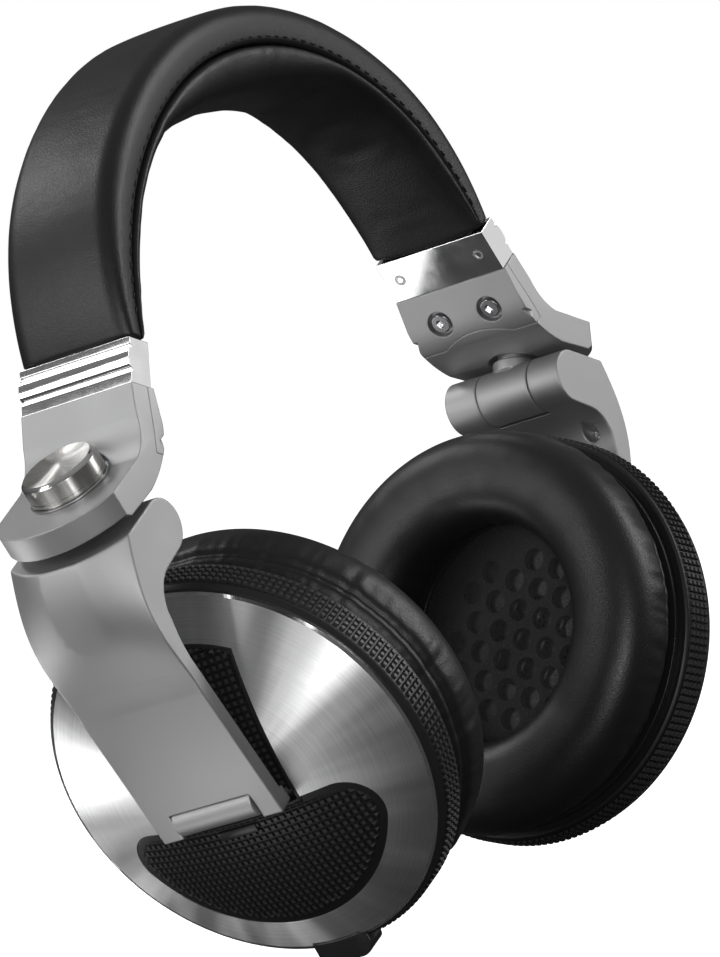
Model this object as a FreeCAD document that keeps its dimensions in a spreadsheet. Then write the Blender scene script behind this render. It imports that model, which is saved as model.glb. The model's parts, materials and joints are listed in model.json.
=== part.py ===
"""Over-ear headphones with sliding, swivelling, folding and tilting cups.

Frame: X runs from ear to ear (left cup at -X), the wearer faces +Y, +Z is up.
The origin lies midway between the cups, level with the middles of their grip rings.
The right side is modelled, and the left side is the same piece turned half a turn about Z.
"""
import FreeCAD, Part
import math
import os

import Sketcher

Vector = FreeCAD.Vector
UP = Vector(0, 0, 1)
ACROSS = Vector(0, 1, 0)

# Driving dimensions, in millimetres and degrees.
DIMENSIONS = {
    # headband
    "band_width": 31.3,
    "band_top": 161.5,
    "arch_radius": 88.3,
    "arch_turn": 43.5,
    "crown_thickness": 10.0,
    "core_depth": 6.0,
    "core_thickness": 1.2,
    "core_width": 20.0,
    "cushion_thickness": 11.0,
    "cushion_side": 37.0,
    "cover_round": 4.5,
    # sliding blade, its guide and the end collar
    "slider_x": 80.15,
    "slider_z": 85.5,
    "slider_angle": 23.5,
    "blade_thickness": 1.5,
    "blade_width": 20.0,
    "blade_reach": 34.0,
    "blade_root": 5.0,
    "slide_clearance": 0.3,
    "guide_length": 36.0,
    "guide_thickness": 4.4,
    "guide_width": 24.0,
    "collar_height": 10.8,
    "collar_half": 3.5,
    "collar_screw_offset": 11.6,
    # housing and swivel
    "barrel_x": 90.0,
    "barrel_z": 54.7,
    "swivel_angle": 22.5,
    "housing_width": 33.5,
    "head_radius": 19.2,
    "head_bottom": 9.5,
    "shelf_height": 15.5,
    "post_radius": 3.75,
    "pin_clearance": 0.05,
    "knob_radius": 9.4,
    "knob_height": 5.7,
    "washer_thickness": 0.6,
    "cover_screw_offset": 7.25,
    "cover_screw_drop": 8.2,
    # fold barrel and arm
    "barrel_radius": 6.5,
    "knuckle_width": 14.8,
    "fold_pin_radius": 2.0,
    "arm_angle": 26.2,
    "arm_width": 33.5,
    "arm_outer": 2.4,
    "arm_inner": 1.5,
    "hinge_x": 80.6,
    "hinge_z": -9.3,
    "hinge_radius": 3.5,
    "hinge_width": 22.0,
    "tilt_pin_radius": 1.2,
    "pin_length": 30.0,
    "prong_reach": 3.6,
    "prong_depth": 2.6,
    "arm_screw_radius": 1.6,
    "arm_screw_length": 3.4,
    "arm_screw_y": -11.2,
    "arm_screw_z": 52.2,
    # cup
    "cup_x": 57.4,
    "cup_angle": 19.6,
    "ring_radius": 48.0,
    "ring_height": 8.6,
    "shell_radius": 45.4,
    "shell_wall": 2.2,
    "rim_radius": 46.9,
    "rim_height": 10.4,
    "dome_edge": 46.2,
    "dome_apex": 23.0,
    "dome_wall": 1.2,
    "bean_radius": 37.0,
    "bean_chord": 4.8,
    "bean_round": 8.5,
    "tray_half": 18.3,
    "tray_end": 6.2,
    "tray_top": 36.5,
    "tray_depth": 3.0,
    "tray_rim": 1.0,
    "driver_radius": 25.0,
    "baffle_thickness": 1.8,
    "sound_hole_radius": 2.7,
    "sound_hole_pitch": 7.2,
    "pad_radius": 48.0,
    "pad_opening": 26.0,
    "pad_thickness": 20.0,
    "pad_round": 8.5,
    "pad_ring_thickness": 1.5,
    # cable inlet of the left cup
    "inlet_width": 16.0,
    "inlet_depth": 8.4,
    "inlet_height": 8.0,
    "inlet_reach": 51.0,
    "inlet_round": 3.4,
    "socket_radius": 2.6,
    "socket_wall": 0.9,
    "socket_length": 7.0,
}


class Size(float):
    """A number together with the sheet formula that it comes from."""

    def __new__(cls, value, formula):
        size = super().__new__(cls, value)
        size.formula = formula
        return size

    def __add__(self, other):
        return Size(float(self) + float(other), f"({self.formula} + {formula_of(other)})")

    def __radd__(self, other):
        return self + other

    def __sub__(self, other):
        return Size(float(self) - float(other), f"({self.formula} - {formula_of(other)})")

    def __rsub__(self, other):
        return Size(float(other) - float(self), f"({formula_of(other)} - {self.formula})")

    def __mul__(self, other):
        return Size(float(self) * float(other), f"({self.formula} * {formula_of(other)})")

    def __rmul__(self, other):
        return self * other

    def __truediv__(self, other):
        return Size(float(self) / float(other), f"({self.formula} / {formula_of(other)})")

    def __neg__(self):
        return Size(-float(self), f"(0 - {self.formula})")


def formula_of(number):
    """The text that stands for a number in a sheet formula."""
    if isinstance(number, Size):
        return number.formula
    if number < 0:
        return f"(0 - {-float(number)!r})"
    return repr(float(number))


def sine(angle):
    return Size(math.sin(math.radians(angle)), f"sin({formula_of(angle)} * 1 deg)")


def cosine(angle):
    return Size(math.cos(math.radians(angle)), f"cos({formula_of(angle)} * 1 deg)")


document = FreeCAD.newDocument("over_ear_headphones")
sheet = document.addObject("Spreadsheet::Sheet", "sizes")
for row, (name, value) in enumerate(DIMENSIONS.items(), start=1):
    sheet.set(f"A{row}", name)
    sheet.set(f"B{row}", str(value))
    sheet.setAlias(f"B{row}", name)
document.recompute()
dim = {name: Size(value, f"sizes.{name}") for name, value in DIMENSIONS.items()}
sub_parts = []


# ---------------------------------------------------------------- building blocks
def bind(item, path, size):
    """Set a property from a size, and keep it tied to the sheet."""
    item.setExpression(path, formula_of(size))


def turned(angle):
    """A turn about Y; a positive angle leans +Z towards +X."""
    return FreeCAD.Rotation(ACROSS, float(angle))


def frame(x, z, angle):
    """A local frame in the middle plane."""
    return FreeCAD.Placement(Vector(float(x), 0, float(z)), turned(angle))


def plane(body, role):
    """One of a body's own origin planes."""
    return [item for item in body.Origin.OriginFeatures if item.Role == role][0]


def start_body(name):
    return document.addObject("PartDesign::Body", name)


def start_sketch(body, role="XZ_Plane", name="sketch"):
    sketch = body.newObject("Sketcher::SketchObject", f"{body.Name}_{name}")
    sketch.AttachmentSupport = [(plane(body, role), "")]
    sketch.MapMode = "FlatFace"
    return sketch


def constrain(sketch, kind, *where, size=None):
    """Add a constraint; a size that comes from the sheet stays bound to it."""
    arguments = list(where)
    if size is not None:
        arguments.append(float(size))
    index = sketch.addConstraint(Sketcher.Constraint(kind, *arguments))
    if isinstance(size, Size):
        sketch.setExpression(f"Constraints[{index}]", size.formula)


def draw(sketch, points):
    """Close an outline through points.

    A point is (x, z), reached by a straight edge, or (x, z, via_x, via_z), reached by an arc
    through the via point, with an optional fifth value that ties the arc's radius.
    """
    corners = [Vector(float(point[0]), float(point[1]), 0) for point in points]
    ends = []
    for index, point in enumerate(points):
        start = corners[index - 1]
        end = corners[index]
        if len(point) == 2:
            edge = sketch.addGeometry(Part.LineSegment(start, end))
            ends.append((edge, 1, 2))
            continue
        via = Vector(float(point[2]), float(point[3]), 0)
        anticlockwise = (via - start).cross(end - via).z > 0
        first, last = (start, end) if anticlockwise else (end, start)
        arc = Part.Arc(first, via, last)
        edge = sketch.addGeometry(arc)
        ends.append((edge, 1, 2) if anticlockwise else (edge, 2, 1))
        radius = point[4] if len(point) == 5 else Part.Circle(first, via, last).Radius
        constrain(sketch, "Radius", edge, size=radius)
    for index, point in enumerate(points):
        edge, _, end = ends[index]
        following, begin, _ = ends[(index + 1) % len(points)]
        constrain(sketch, "Coincident", edge, end, following, begin)
        constrain(sketch, "DistanceX", -1, 1, edge, end, size=point[0])
        constrain(sketch, "DistanceY", -1, 1, edge, end, size=point[1])


def extrude(name, points, width, role="XZ_Plane"):
    """A body padded to both sides of a plane of its own."""
    body = start_body(name)
    sketch = start_sketch(body, role)
    draw(sketch, points)
    pad = body.newObject("PartDesign::Pad", f"{name}_pad")
    pad.Profile = sketch
    pad.Midplane = True
    bind(pad, "Length", width)
    sketch.Visibility = False
    return body


def revolve(name, points):
    """A body turned about its own Z; points are (radius, height)."""
    body = start_body(name)
    sketch = start_sketch(body)
    draw(sketch, points)
    turn = body.newObject("PartDesign::Revolution", f"{name}_turn")
    turn.Profile = sketch
    turn.ReferenceAxis = (sketch, ["V_Axis"])
    turn.Angle = 360
    sketch.Visibility = False
    return body


def cylinder(name, radius, height, base, direction=UP):
    """A rod of a given height from its base."""
    item = document.addObject("Part::Cylinder", name)
    bind(item, "Radius", radius)
    bind(item, "Height", height)
    item.Placement = FreeCAD.Placement(Vector(*[float(v) for v in base]), FreeCAD.Rotation(UP, direction))
    return item


def cross_rod(name, radius, width, x=0, z=0):
    """A rod along Y, centred on the middle plane."""
    return cylinder(name, radius, width, (x, -width / 2, z), ACROSS)


def block(name, low, high):
    """A box between two corners."""
    item = document.addObject("Part::Box", name)
    for side, bottom, top in zip(("Length", "Width", "Height"), low, high):
        bind(item, side, top - bottom)
    item.Placement.Base = Vector(*[float(v) for v in low])
    return item


def combine(kind, name, shapes):
    item = document.addObject(kind, name)
    item.Shapes = shapes
    return item


def fuse(name, *shapes):
    return combine("Part::MultiFuse", name, list(shapes))


def common(name, *shapes):
    return combine("Part::MultiCommon", name, list(shapes))


def cut(name, base, *tools):
    """Take one or more tools away from a base."""
    item = document.addObject("Part::Cut", name)
    item.Base = base
    item.Tool = tools[0] if len(tools) == 1 else fuse(f"{name}_tools", *tools)
    return item


def soften(name, base, radius, chosen):
    """Round the edges of a shape that a test picks."""
    document.recompute()
    item = document.addObject("Part::Fillet", name)
    item.Base = base
    edges = [index for index, edge in enumerate(base.Shape.Edges, start=1) if chosen(edge)]
    item.Edges = [(index, float(radius), float(radius)) for index in edges]
    return item


def sub_part(name, item, placement=None, side="right"):
    """Name a finished piece and put it in its place."""
    place = placement or FreeCAD.Placement()
    if side == "left":
        place = FreeCAD.Placement(Vector(), FreeCAD.Rotation(UP, 180)) * place
    item.Label = name
    item.Placement = place * item.Placement
    sub_parts.append(item)
    return item


def middle(edge):
    """The point halfway along an edge."""
    return edge.valueAt((edge.FirstParameter + edge.LastParameter) / 2)


# ---------------------------------------------------------------- local frames of the right side
slider_frame = frame(dim["slider_x"], dim["slider_z"], -dim["slider_angle"])
swivel_frame = frame(dim["barrel_x"], dim["barrel_z"], dim["swivel_angle"])
arm_frame = frame(dim["hinge_x"], dim["hinge_z"], dim["arm_angle"])
# The cup's own Z points outwards, and its own X points down the cup.
cup_frame = frame(dim["cup_x"], 0, 90 + dim["cup_angle"])


def from_slider(x, z):
    """A point of the slider frame, in the middle plane of the headphones."""
    lean = dim["slider_angle"]
    return (
        dim["slider_x"] + x * cosine(lean) - z * sine(lean),
        dim["slider_z"] + x * sine(lean) + z * cosine(lean),
    )


# ---------------------------------------------------------------- headband
class Arch:
    """Half an arch: a crown arc, then a tighter arc, tangent to it, down to an end point."""

    def __init__(self, drop, end):
        turn = dim["arch_turn"]
        self.radius = dim["arch_radius"] - drop
        self.top = dim["band_top"] - drop
        centre = dim["band_top"] - dim["arch_radius"]
        self.joint = (self.radius * sine(turn), centre + self.radius * cosine(turn))
        self.end = end
        across = end[0] - self.joint[0]
        down = end[1] - self.joint[1]
        lean = across * sine(turn) + down * cosine(turn)
        self.side_radius = -(across * across + down * down) / (lean * 2)
        middle_x = self.joint[0] - self.side_radius * sine(turn)
        middle_z = self.joint[1] - self.side_radius * cosine(turn)
        halfway = Vector(self.joint[0] + end[0] - 2 * middle_x, 0, self.joint[1] + end[1] - 2 * middle_z)
        halfway.normalize()
        self.via = (
            float(middle_x) + float(self.side_radius) * halfway.x,
            float(middle_z) + float(self.side_radius) * halfway.z,
        )

    def over_from_right(self):
        """The points from the right end, which comes before them, over to the left end."""
        joint_x, joint_z = self.joint
        return [
            (joint_x, joint_z, self.via[0], self.via[1], self.side_radius),
            (-joint_x, joint_z, 0, self.top, self.radius),
            (-self.end[0], self.end[1], -self.via[0], self.via[1], self.side_radius),
        ]

    def over_from_left(self):
        """The points from the left end, which comes before them, over to the right end."""
        joint_x, joint_z = self.joint
        return [
            (-joint_x, joint_z, -self.via[0], self.via[1], self.side_radius),
            (joint_x, joint_z, 0, self.top, self.radius),
            (self.end[0], self.end[1], self.via[0], self.via[1], self.side_radius),
        ]


outer_arch = Arch(0, from_slider(dim["collar_half"] - 0.2, dim["collar_height"]))
seam_arch = Arch(dim["crown_thickness"], from_slider(-2.3, dim["collar_height"]))


def guide_box(name, side):
    """The outside of a slide guide, in place."""
    half = dim["guide_thickness"] / 2
    wide = dim["guide_width"] / 2
    foot = dim["collar_height"]
    item = block(name, (-half, -wide, foot), (half, wide, foot + dim["guide_length"]))
    place = slider_frame
    if side == "left":
        place = FreeCAD.Placement(Vector(), FreeCAD.Rotation(UP, 180)) * place
    item.Placement = place * item.Placement
    return item


def core_strip(name):
    """The spring-steel strip under the crown."""
    turn = dim["arch_turn"]
    centre = dim["band_top"] - dim["arch_radius"]
    outer = dim["arch_radius"] - dim["core_depth"]
    inner = outer - dim["core_thickness"]
    points = [
        (outer * sine(turn), centre + outer * cosine(turn)),
        (-(outer * sine(turn)), centre + outer * cosine(turn), 0, centre + outer, outer),
        (-(inner * sine(turn)), centre + inner * cosine(turn)),
        (inner * sine(turn), centre + inner * cosine(turn), 0, centre + inner, inner),
    ]
    return extrude(name, points, dim["core_width"])


def hollows(name):
    """What the soft parts of the headband leave free."""
    return [core_strip(f"{name}_core"), guide_box(f"{name}_guide_a", "right"), guide_box(f"{name}_guide_b", "left")]


def headband_cover():
    points = [outer_arch.end]
    points += outer_arch.over_from_right()
    points += [(-seam_arch.end[0], seam_arch.end[1])]
    points += seam_arch.over_from_left()
    shell = extrude("cover_block", points, dim["band_width"])
    half = float(dim["band_width"]) / 2
    crown = float(seam_arch.radius) + 3

    def outer_side(edge):
        point = middle(edge)
        centre = float(dim["band_top"] - dim["arch_radius"])
        on_side = abs(abs(point.y) - half) < 0.01
        long_edge = edge.Length > 30
        above = math.hypot(point.x, point.z - centre) > crown or abs(point.x) > 76
        return on_side and long_edge and above

    rounded = soften("cover_rounded", shell, dim["cover_round"], outer_side)
    sub_part("headband_cover", cut("cover_cut", rounded, *hollows("cover")))


def headband_cushion():
    foot_x, foot_z = from_slider(-(dim["collar_half"] - 0.2), dim["collar_height"])
    top = dim["band_top"] - dim["crown_thickness"] - dim["cushion_thickness"]
    side = dim["cushion_side"]
    shoulder = top - 4
    low_x = side + 23
    low_z = shoulder - 20.5
    points = [seam_arch.end]
    points += seam_arch.over_from_right()
    points += [
        (-foot_x, foot_z),
        (-low_x, low_z),
        (-side, shoulder, -side - 12.6, shoulder - 8.2),
        (side, shoulder, 0, top),
        (low_x, low_z, side + 12.6, shoulder - 8.2),
        (foot_x, foot_z),
    ]
    pad = extrude("cushion_block", points, dim["band_width"])
    sub_part("headband_cushion", cut("cushion_cut", pad, *hollows("cushion")))


def collar(side):
    """Polished end collar with a stepped outer face and a slot for the blade."""
    height = dim["collar_height"]
    half = dim["collar_half"]
    points = [
        (-half, 0),
        (half, 0),
        (half, 2.6),
        (half - 0.6, 2.9),
        (half - 0.6, 3.4),
        (half + 0.2, 3.8),
        (half + 0.1, 8.0, half + 0.7, 5.9),
        (half - 0.7, 8.4),
        (half - 0.7, 8.9),
        (half - 0.2, 9.1),
        (half - 0.2, height),
        (-half, height),
    ]
    body = extrude(f"{side}_collar_body", points, dim["band_width"])
    clear_x = dim["blade_thickness"] / 2 + dim["slide_clearance"]
    clear_y = dim["blade_width"] / 2 + dim["slide_clearance"]
    slot = block(f"{side}_collar_slot", (-clear_x, -clear_y, -1), (clear_x, clear_y, height + 1))
    seats = collar_screw_shapes(f"{side}_collar_seat", socket=False)
    sub_part(f"{side}_collar", cut(f"{side}_collar_cut", body, slot, *seats), slider_frame, side)


def collar_screw_shapes(name, socket=True):
    """The two small screws in a collar's inner face."""
    screws = []
    for index, turn in enumerate((-1, 1)):
        y = turn * dim["collar_screw_offset"]
        z = dim["collar_height"] / 2
        face = -dim["collar_half"] + 0.35
        head = cylinder(f"{name}_head_{index}", 1.5, 1.2, (face, y, z), Vector(1, 0, 0))
        shank = cylinder(f"{name}_shank_{index}", 0.8, 4.5, (face, y, z), Vector(1, 0, 0))
        screw = fuse(f"{name}_{index}", head, shank)
        if socket:
            drive = cylinder(f"{name}_drive_{index}", 0.7, 0.7, (face - 0.1, y, z), Vector(1, 0, 0))
            screw = cut(f"{name}_driven_{index}", screw, drive)
        else:
            mouth = cylinder(f"{name}_mouth_{index}", 1.5, 1, (face - 1, y, z), Vector(1, 0, 0))
            screw = fuse(f"{name}_seat_{index}", screw, mouth)
        screws.append(screw)
    return screws


def collar_screws():
    turned_half = FreeCAD.Placement(Vector(), FreeCAD.Rotation(UP, 180))
    both = []
    for side, place in (("right", slider_frame), ("left", turned_half * slider_frame)):
        pair = document.addObject("Part::Compound", f"{side}_collar_pair")
        pair.Links = collar_screw_shapes(f"{side}_collar_screw")
        pair.Placement = place
        both.append(pair)
    group = document.addObject("Part::Compound", "collar_screw_group")
    group.Links = both
    sub_part("collar_screws", group)


def slide_guide(side):
    """Plastic sleeve in the end of the headband, in which the blade runs."""
    half = dim["guide_thickness"] / 2
    wide = dim["guide_width"] / 2
    foot = dim["collar_height"]
    top = foot + dim["guide_length"]
    sleeve = block(f"{side}_guide_block", (-half, -wide, foot), (half, wide, top))
    clear_x = dim["blade_thickness"] / 2 + dim["slide_clearance"]
    clear_y = dim["blade_width"] / 2 + dim["slide_clearance"]
    slot = block(f"{side}_guide_slot", (-clear_x, -clear_y, foot - 1), (clear_x, clear_y, top + 1))
    sub_part(f"{side}_slide_guide", cut(f"{side}_guide_cut", sleeve, slot), slider_frame, side)


# ---------------------------------------------------------------- slider: blade, housing, inner cover
def blade_shape(name):
    half = dim["blade_thickness"] / 2
    wide = dim["blade_width"] / 2
    top = dim["collar_height"] + dim["blade_reach"]
    return block(name, (-half, -wide, -dim["blade_root"]), (half, wide, top))


def slide_blade(side):
    sub_part(f"{side}_slide_blade", blade_shape(f"{side}_blade"), slider_frame, side)


def slider_in_swivel():
    """The slider frame, seen from the swivel frame."""
    return swivel_frame.inverse() * slider_frame


def housing_block(name):
    """The whole outside of the housing: a neck and a round head, in the swivel frame."""
    shelf = dim["shelf_height"]
    bottom = dim["head_bottom"]
    head = dim["head_radius"]
    outline = [
        (-23.4, 22.1),
        (-18.3, 27.4),
        (-13.2, 21.8),
        (-4.5, shelf, -9.4, 17.6),
        (head + 1, shelf),
        (head + 1, bottom),
        (9.5, bottom),
        (7.9, bottom - 1.2),
        (-2.8, bottom - 1.6),
        (-13.7, 10.9, -8.3, 8.9),
        (-19.9, 17.0, -17.2, 13.6),
    ]
    profile = extrude(f"{name}_profile", outline, dim["housing_width"])
    corner = 9.0
    wide = dim["housing_width"] / 2 + 0.5
    disc = cylinder(f"{name}_disc", head, 14, (0, 0, 2))
    plan = block(f"{name}_plan", (-20.5, -wide, 2), (0, wide, 16))
    rounded_plan = soften(
        f"{name}_plan_round",
        plan,
        corner,
        lambda edge: abs(middle(edge).x + 20.5) < 0.01 and edge.Length > 13 and abs(middle(edge).z - 9) < 0.1,
    )
    neck = block(f"{name}_neck", (-30, -wide, 13.4), (-3, wide, 40))
    body = fuse(f"{name}_body", disc, rounded_plan, neck)
    above = block(f"{name}_above", (-10, -30, -0.05), (10, 30, 10))
    above.Placement = slider_in_swivel() * above.Placement
    envelope = cut(f"{name}_envelope", body, above)
    narrow = dim["band_width"] / 2
    front = [
        (-narrow, 28),
        (-dim["housing_width"] / 2, shelf),
        (-dim["housing_width"] / 2, 0),
        (dim["housing_width"] / 2, 0),
        (dim["housing_width"] / 2, shelf),
        (narrow, 28),
    ]
    taper = extrude(f"{name}_taper", front, 100.0, "YZ_Plane")
    return common(f"{name}_block", profile, envelope, taper)


def cover_region(name):
    """The part of the housing that the inner cover takes, in the swivel frame."""
    outline = [(-9, 0.5), (-1.5, 0.5), (-2.2, -15.5), (-9, -15.5)]
    skin = extrude(f"{name}_skin", outline, dim["housing_width"] + 2)
    seam = cylinder(f"{name}_seam", 18.0, 14, (-10, 0, -30.5), Vector(1, 0, 0))
    region = cut(f"{name}_region", skin, seam)
    region.Placement = slider_in_swivel()
    return region


def cover_screw_shapes(name, kind):
    """The two socket screws of the inner cover: the screws, or the seats that they need."""
    shapes = []
    inward = Vector(1, 0, 0)
    for index, turn in enumerate((-1, 1)):
        y = turn * dim["cover_screw_offset"]
        z = -dim["cover_screw_drop"]
        floor = -3.5
        shank = cylinder(f"{name}_shank_{index}", 1.2, 5.5, (floor, y, z), inward)
        if kind == "seats":
            well = cylinder(f"{name}_well_{index}", 3.3, 4, (floor - 4, y, z), inward)
            shapes.append(fuse(f"{name}_{index}", shank, well))
            continue
        head = cylinder(f"{name}_head_{index}", 2.5, 1.2, (floor - 1.2, y, z), inward)
        drive = cylinder(f"{name}_drive_{index}", 1.2, 1.0, (floor - 1.3, y, z), inward)
        screw = fuse(f"{name}_screw_{index}", shank, head)
        shapes.append(cut(f"{name}_{index}", screw, drive))
    return shapes


def seats_in_swivel(name):
    group = fuse(name, *cover_screw_shapes(f"{name}_seat", "seats"))
    group.Placement = slider_in_swivel()
    return group


def housing(side):
    name = f"{side}_housing"
    block_shape = housing_block(name)
    blade = blade_shape(f"{name}_blade")
    blade.Placement = slider_in_swivel() * blade.Placement
    bore = cylinder(f"{name}_bore", dim["post_radius"] + dim["pin_clearance"], 30, (0, 0, 0))
    recess = cylinder(f"{name}_recess", dim["post_radius"] + 2.2, 5, (0, 0, dim["head_bottom"] - 4))
    scoop = cylinder(f"{name}_scoop", dim["knob_radius"] + 0.9, 20, (0, 0, dim["shelf_height"]))
    result = cut(
        f"{name}_cut",
        block_shape,
        cover_region(f"{name}_cover"),
        blade,
        bore,
        recess,
        scoop,
        seats_in_swivel(f"{name}_seats"),
    )
    sub_part(name, result, swivel_frame, side)


def housing_cover(side):
    name = f"{side}_housing_cover"
    skin = common(f"{name}_skin", housing_block(name), cover_region(f"{name}_cover"))
    sub_part(name, cut(f"{name}_cut", skin, seats_in_swivel(f"{name}_seats")), swivel_frame, side)


def housing_screws(side):
    group = document.addObject("Part::Compound", f"{side}_housing_screw_pair")
    group.Links = cover_screw_shapes(f"{side}_housing_screw", "screws")
    sub_part(f"{side}_housing_screws", group, slider_frame, side)


# ---------------------------------------------------------------- swivel: yoke, washer, knob
def swivel_yoke(side):
    """Post along the swivel axis with the middle knuckle of the fold barrel."""
    name = f"{side}_yoke"
    knuckle = cross_rod(f"{name}_knuckle", dim["barrel_radius"], dim["knuckle_width"])
    post = cylinder(f"{name}_post", dim["post_radius"], dim["shelf_height"] + 4.5, (0, 0, 0))
    shoulder = cylinder(f"{name}_shoulder", dim["post_radius"] + 1.3, 2.6, (0, 0, 5.0))
    hole = cross_rod(f"{name}_hole", dim["fold_pin_radius"] + dim["pin_clearance"], 40.0)
    solid = fuse(f"{name}_solid", knuckle, post, shoulder)
    sub_part(f"{side}_swivel_yoke", cut(f"{name}_cut", solid, hole), swivel_frame, side)


def swivel_washer(side):
    low = dim["shelf_height"] + dim["pin_clearance"]
    top = low + dim["washer_thickness"] - dim["pin_clearance"]
    points = [
        (dim["post_radius"], low),
        (dim["knob_radius"] + 0.4, low),
        (dim["knob_radius"] + 0.4, top),
        (dim["post_radius"], top),
    ]
    sub_part(f"{side}_swivel_washer", revolve(f"{side}_washer", points), swivel_frame, side)


def knob(side):
    """Turned metal cap on the end of the post."""
    low = dim["shelf_height"] + dim["washer_thickness"]
    top = low + dim["knob_height"]
    edge = dim["knob_radius"]
    points = [
        (dim["post_radius"], low),
        (edge - 0.3, low),
        (edge, low + 0.3),
        (edge, top - 0.9),
        (edge - 0.9, top),
        (0, top - 0.3),
        (0, dim["shelf_height"] + 4.5),
        (dim["post_radius"], dim["shelf_height"] + 4.5),
    ]
    sub_part(f"{side}_knob", revolve(f"{side}_knob_body", points), swivel_frame, side)


# ---------------------------------------------------------------- hanger arm and its pins
def arm_front(name):
    """What lies behind the arm's outer face, which is round at the top and flat further down."""
    half = dim["arm_width"] / 2 + 0.02
    back = -40.0
    stations = [
        (30.0, 2.7, 2.6),
        (38.0, 2.5, 2.3),
        (44.0, 3.9, 2.6),
        (50.0, 4.9, 2.3),
        (57.0, 4.6, 0.3),
        (64.0, 2.6, -3.9),
        (70.0, -0.9, -8.6),
    ]
    sections = []
    for index, (height, centre, edge) in enumerate(stations):
        sketch = document.addObject("Sketcher::SketchObject", f"{name}_section_{index}")
        draw(
            sketch,
            [(edge, -half), (edge, half, centre, 0), (back, half), (back, -half)],
        )
        sketch.Placement.Base = Vector(0, 0, height)
        sections.append(sketch)
    loft = document.addObject("Part::Loft", f"{name}_loft")
    loft.Sections = sections
    loft.Solid = True
    loft.Ruled = False
    flat = block(f"{name}_flat", (back, -half, -10.0), (dim["arm_outer"] + 1, half, 30.5))
    return fuse(f"{name}_front", loft, flat)


def barrel_in_arm():
    """The fold axis, seen from the arm frame."""
    lean = dim["arm_angle"]
    away = dim["barrel_x"] - dim["hinge_x"]
    above = dim["barrel_z"] - dim["hinge_z"]
    return away * cosine(lean) - above * sine(lean), away * sine(lean) + above * cosine(lean)


def arm(side):
    """Hanger arm: two barrel knuckles, a curved shoulder, a flat blade and a forked end."""
    name = f"{side}_arm"
    across, up = barrel_in_arm()
    round_ = dim["barrel_radius"]
    outer = dim["arm_outer"]
    inner = -dim["arm_inner"]
    outline = [
        (inner, 0),
        (outer, 0),
        (outer, 38.0),
        (-0.8, 69.2, 4.75, 53.0),
        (across, up + round_),
        (across + 0.6, up - round_ + 0.03, across - round_, up),
        (-13.4, 55.2),
        (-3.6, 47.5, -6.6, 52.9),
        (inner, 38.0, -2.2, 43.0),
    ]
    profile = extrude(f"{name}_profile", outline, dim["arm_width"])
    face = common(f"{name}_face", profile, arm_front(name))
    half = dim["arm_width"] / 2
    end = dim["prong_reach"]
    prong = block(f"{name}_prong", (-(dim["prong_depth"]), -half, -end), (outer, half, 0.5))
    solid = fuse(f"{name}_solid", face, prong)
    half_slot = dim["knuckle_width"] / 2 + 0.2
    slot_rod = cross_rod(f"{name}_slot_rod", round_ + 0.5, half_slot * 2, across, up)
    slot_box = block(f"{name}_slot_box", (-30, -half_slot, up - 1), (across + 6.2, half_slot, 75))
    notch_half = dim["hinge_width"] / 2 + 0.2
    notch_rod = cross_rod(f"{name}_notch_rod", dim["hinge_radius"] + 0.4, notch_half * 2)
    notch_box = block(f"{name}_notch_box", (-8, -notch_half, -8), (8, notch_half, 0.5))
    fold_hole = cross_rod(f"{name}_fold_hole", dim["fold_pin_radius"], dim["pin_length"], across, up)
    tilt_hole = cross_rod(f"{name}_tilt_hole", dim["tilt_pin_radius"], dim["pin_length"])
    screw_well = arm_screw_rod(f"{name}_screw_well", dim["arm_screw_radius"] + 0.4, 0)
    screw_seat = arm_screw_rod(f"{name}_screw_seat", dim["arm_screw_radius"], dim["arm_screw_length"])
    tools = [slot_rod, slot_box, notch_rod, notch_box, fold_hole, tilt_hole, screw_well, screw_seat]
    sub_part(name, cut(f"{name}_cut", solid, *tools), arm_frame, side)


def arm_screw_rod(name, radius, depth):
    """A rod from well inside the headphones to a depth below the arm screw's head."""
    head = -2.2
    start = -15.0
    place = (start, dim["arm_screw_y"], dim["arm_screw_z"])
    return cylinder(name, radius, head - start + depth, place, Vector(1, 0, 0))


def arm_screw(side):
    head = -2.2
    y = dim["arm_screw_y"]
    z = dim["arm_screw_z"]
    inward = Vector(1, 0, 0)
    shank = cylinder(f"{side}_arm_screw_body", dim["arm_screw_radius"], dim["arm_screw_length"], (head, y, z), inward)
    drive = cylinder(f"{side}_arm_screw_drive", 0.7, 0.9, (head - 0.1, y, z), inward)
    sub_part(f"{side}_arm_screw", cut(f"{side}_arm_screw_cut", shank, drive), arm_frame, side)


def fold_pin(side):
    pin = cross_rod(f"{side}_fold_pin_rod", dim["fold_pin_radius"], dim["pin_length"])
    sub_part(f"{side}_fold_pin", pin, swivel_frame, side)


def tilt_pin(side):
    pin = cross_rod(f"{side}_tilt_pin_rod", dim["tilt_pin_radius"], dim["pin_length"])
    sub_part(f"{side}_tilt_pin", pin, arm_frame, side)


# ---------------------------------------------------------------- cup
def dome_radius():
    """Radius of the sphere through the dome's apex and edge."""
    rise = dim["dome_apex"] - dim["rim_height"] - 0.7
    edge = dim["dome_edge"]
    return (edge * edge + rise * rise) / (rise * 2)


def sphere_height(radius, sphere):
    """Height at a radius of the sphere that shares the dome's centre."""
    centre = float(dim["dome_apex"] - dome_radius())
    return centre + math.sqrt(float(sphere) ** 2 - float(radius) ** 2)


def cap(name, drop):
    """Everything inside the sphere that lies a drop below the dome."""
    radius = dome_radius() - drop
    item = document.addObject("Part::Sphere", name)
    bind(item, "Radius", radius)
    item.Placement.Base = Vector(0, 0, float(dim["dome_apex"] - dome_radius()))
    return item


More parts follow.
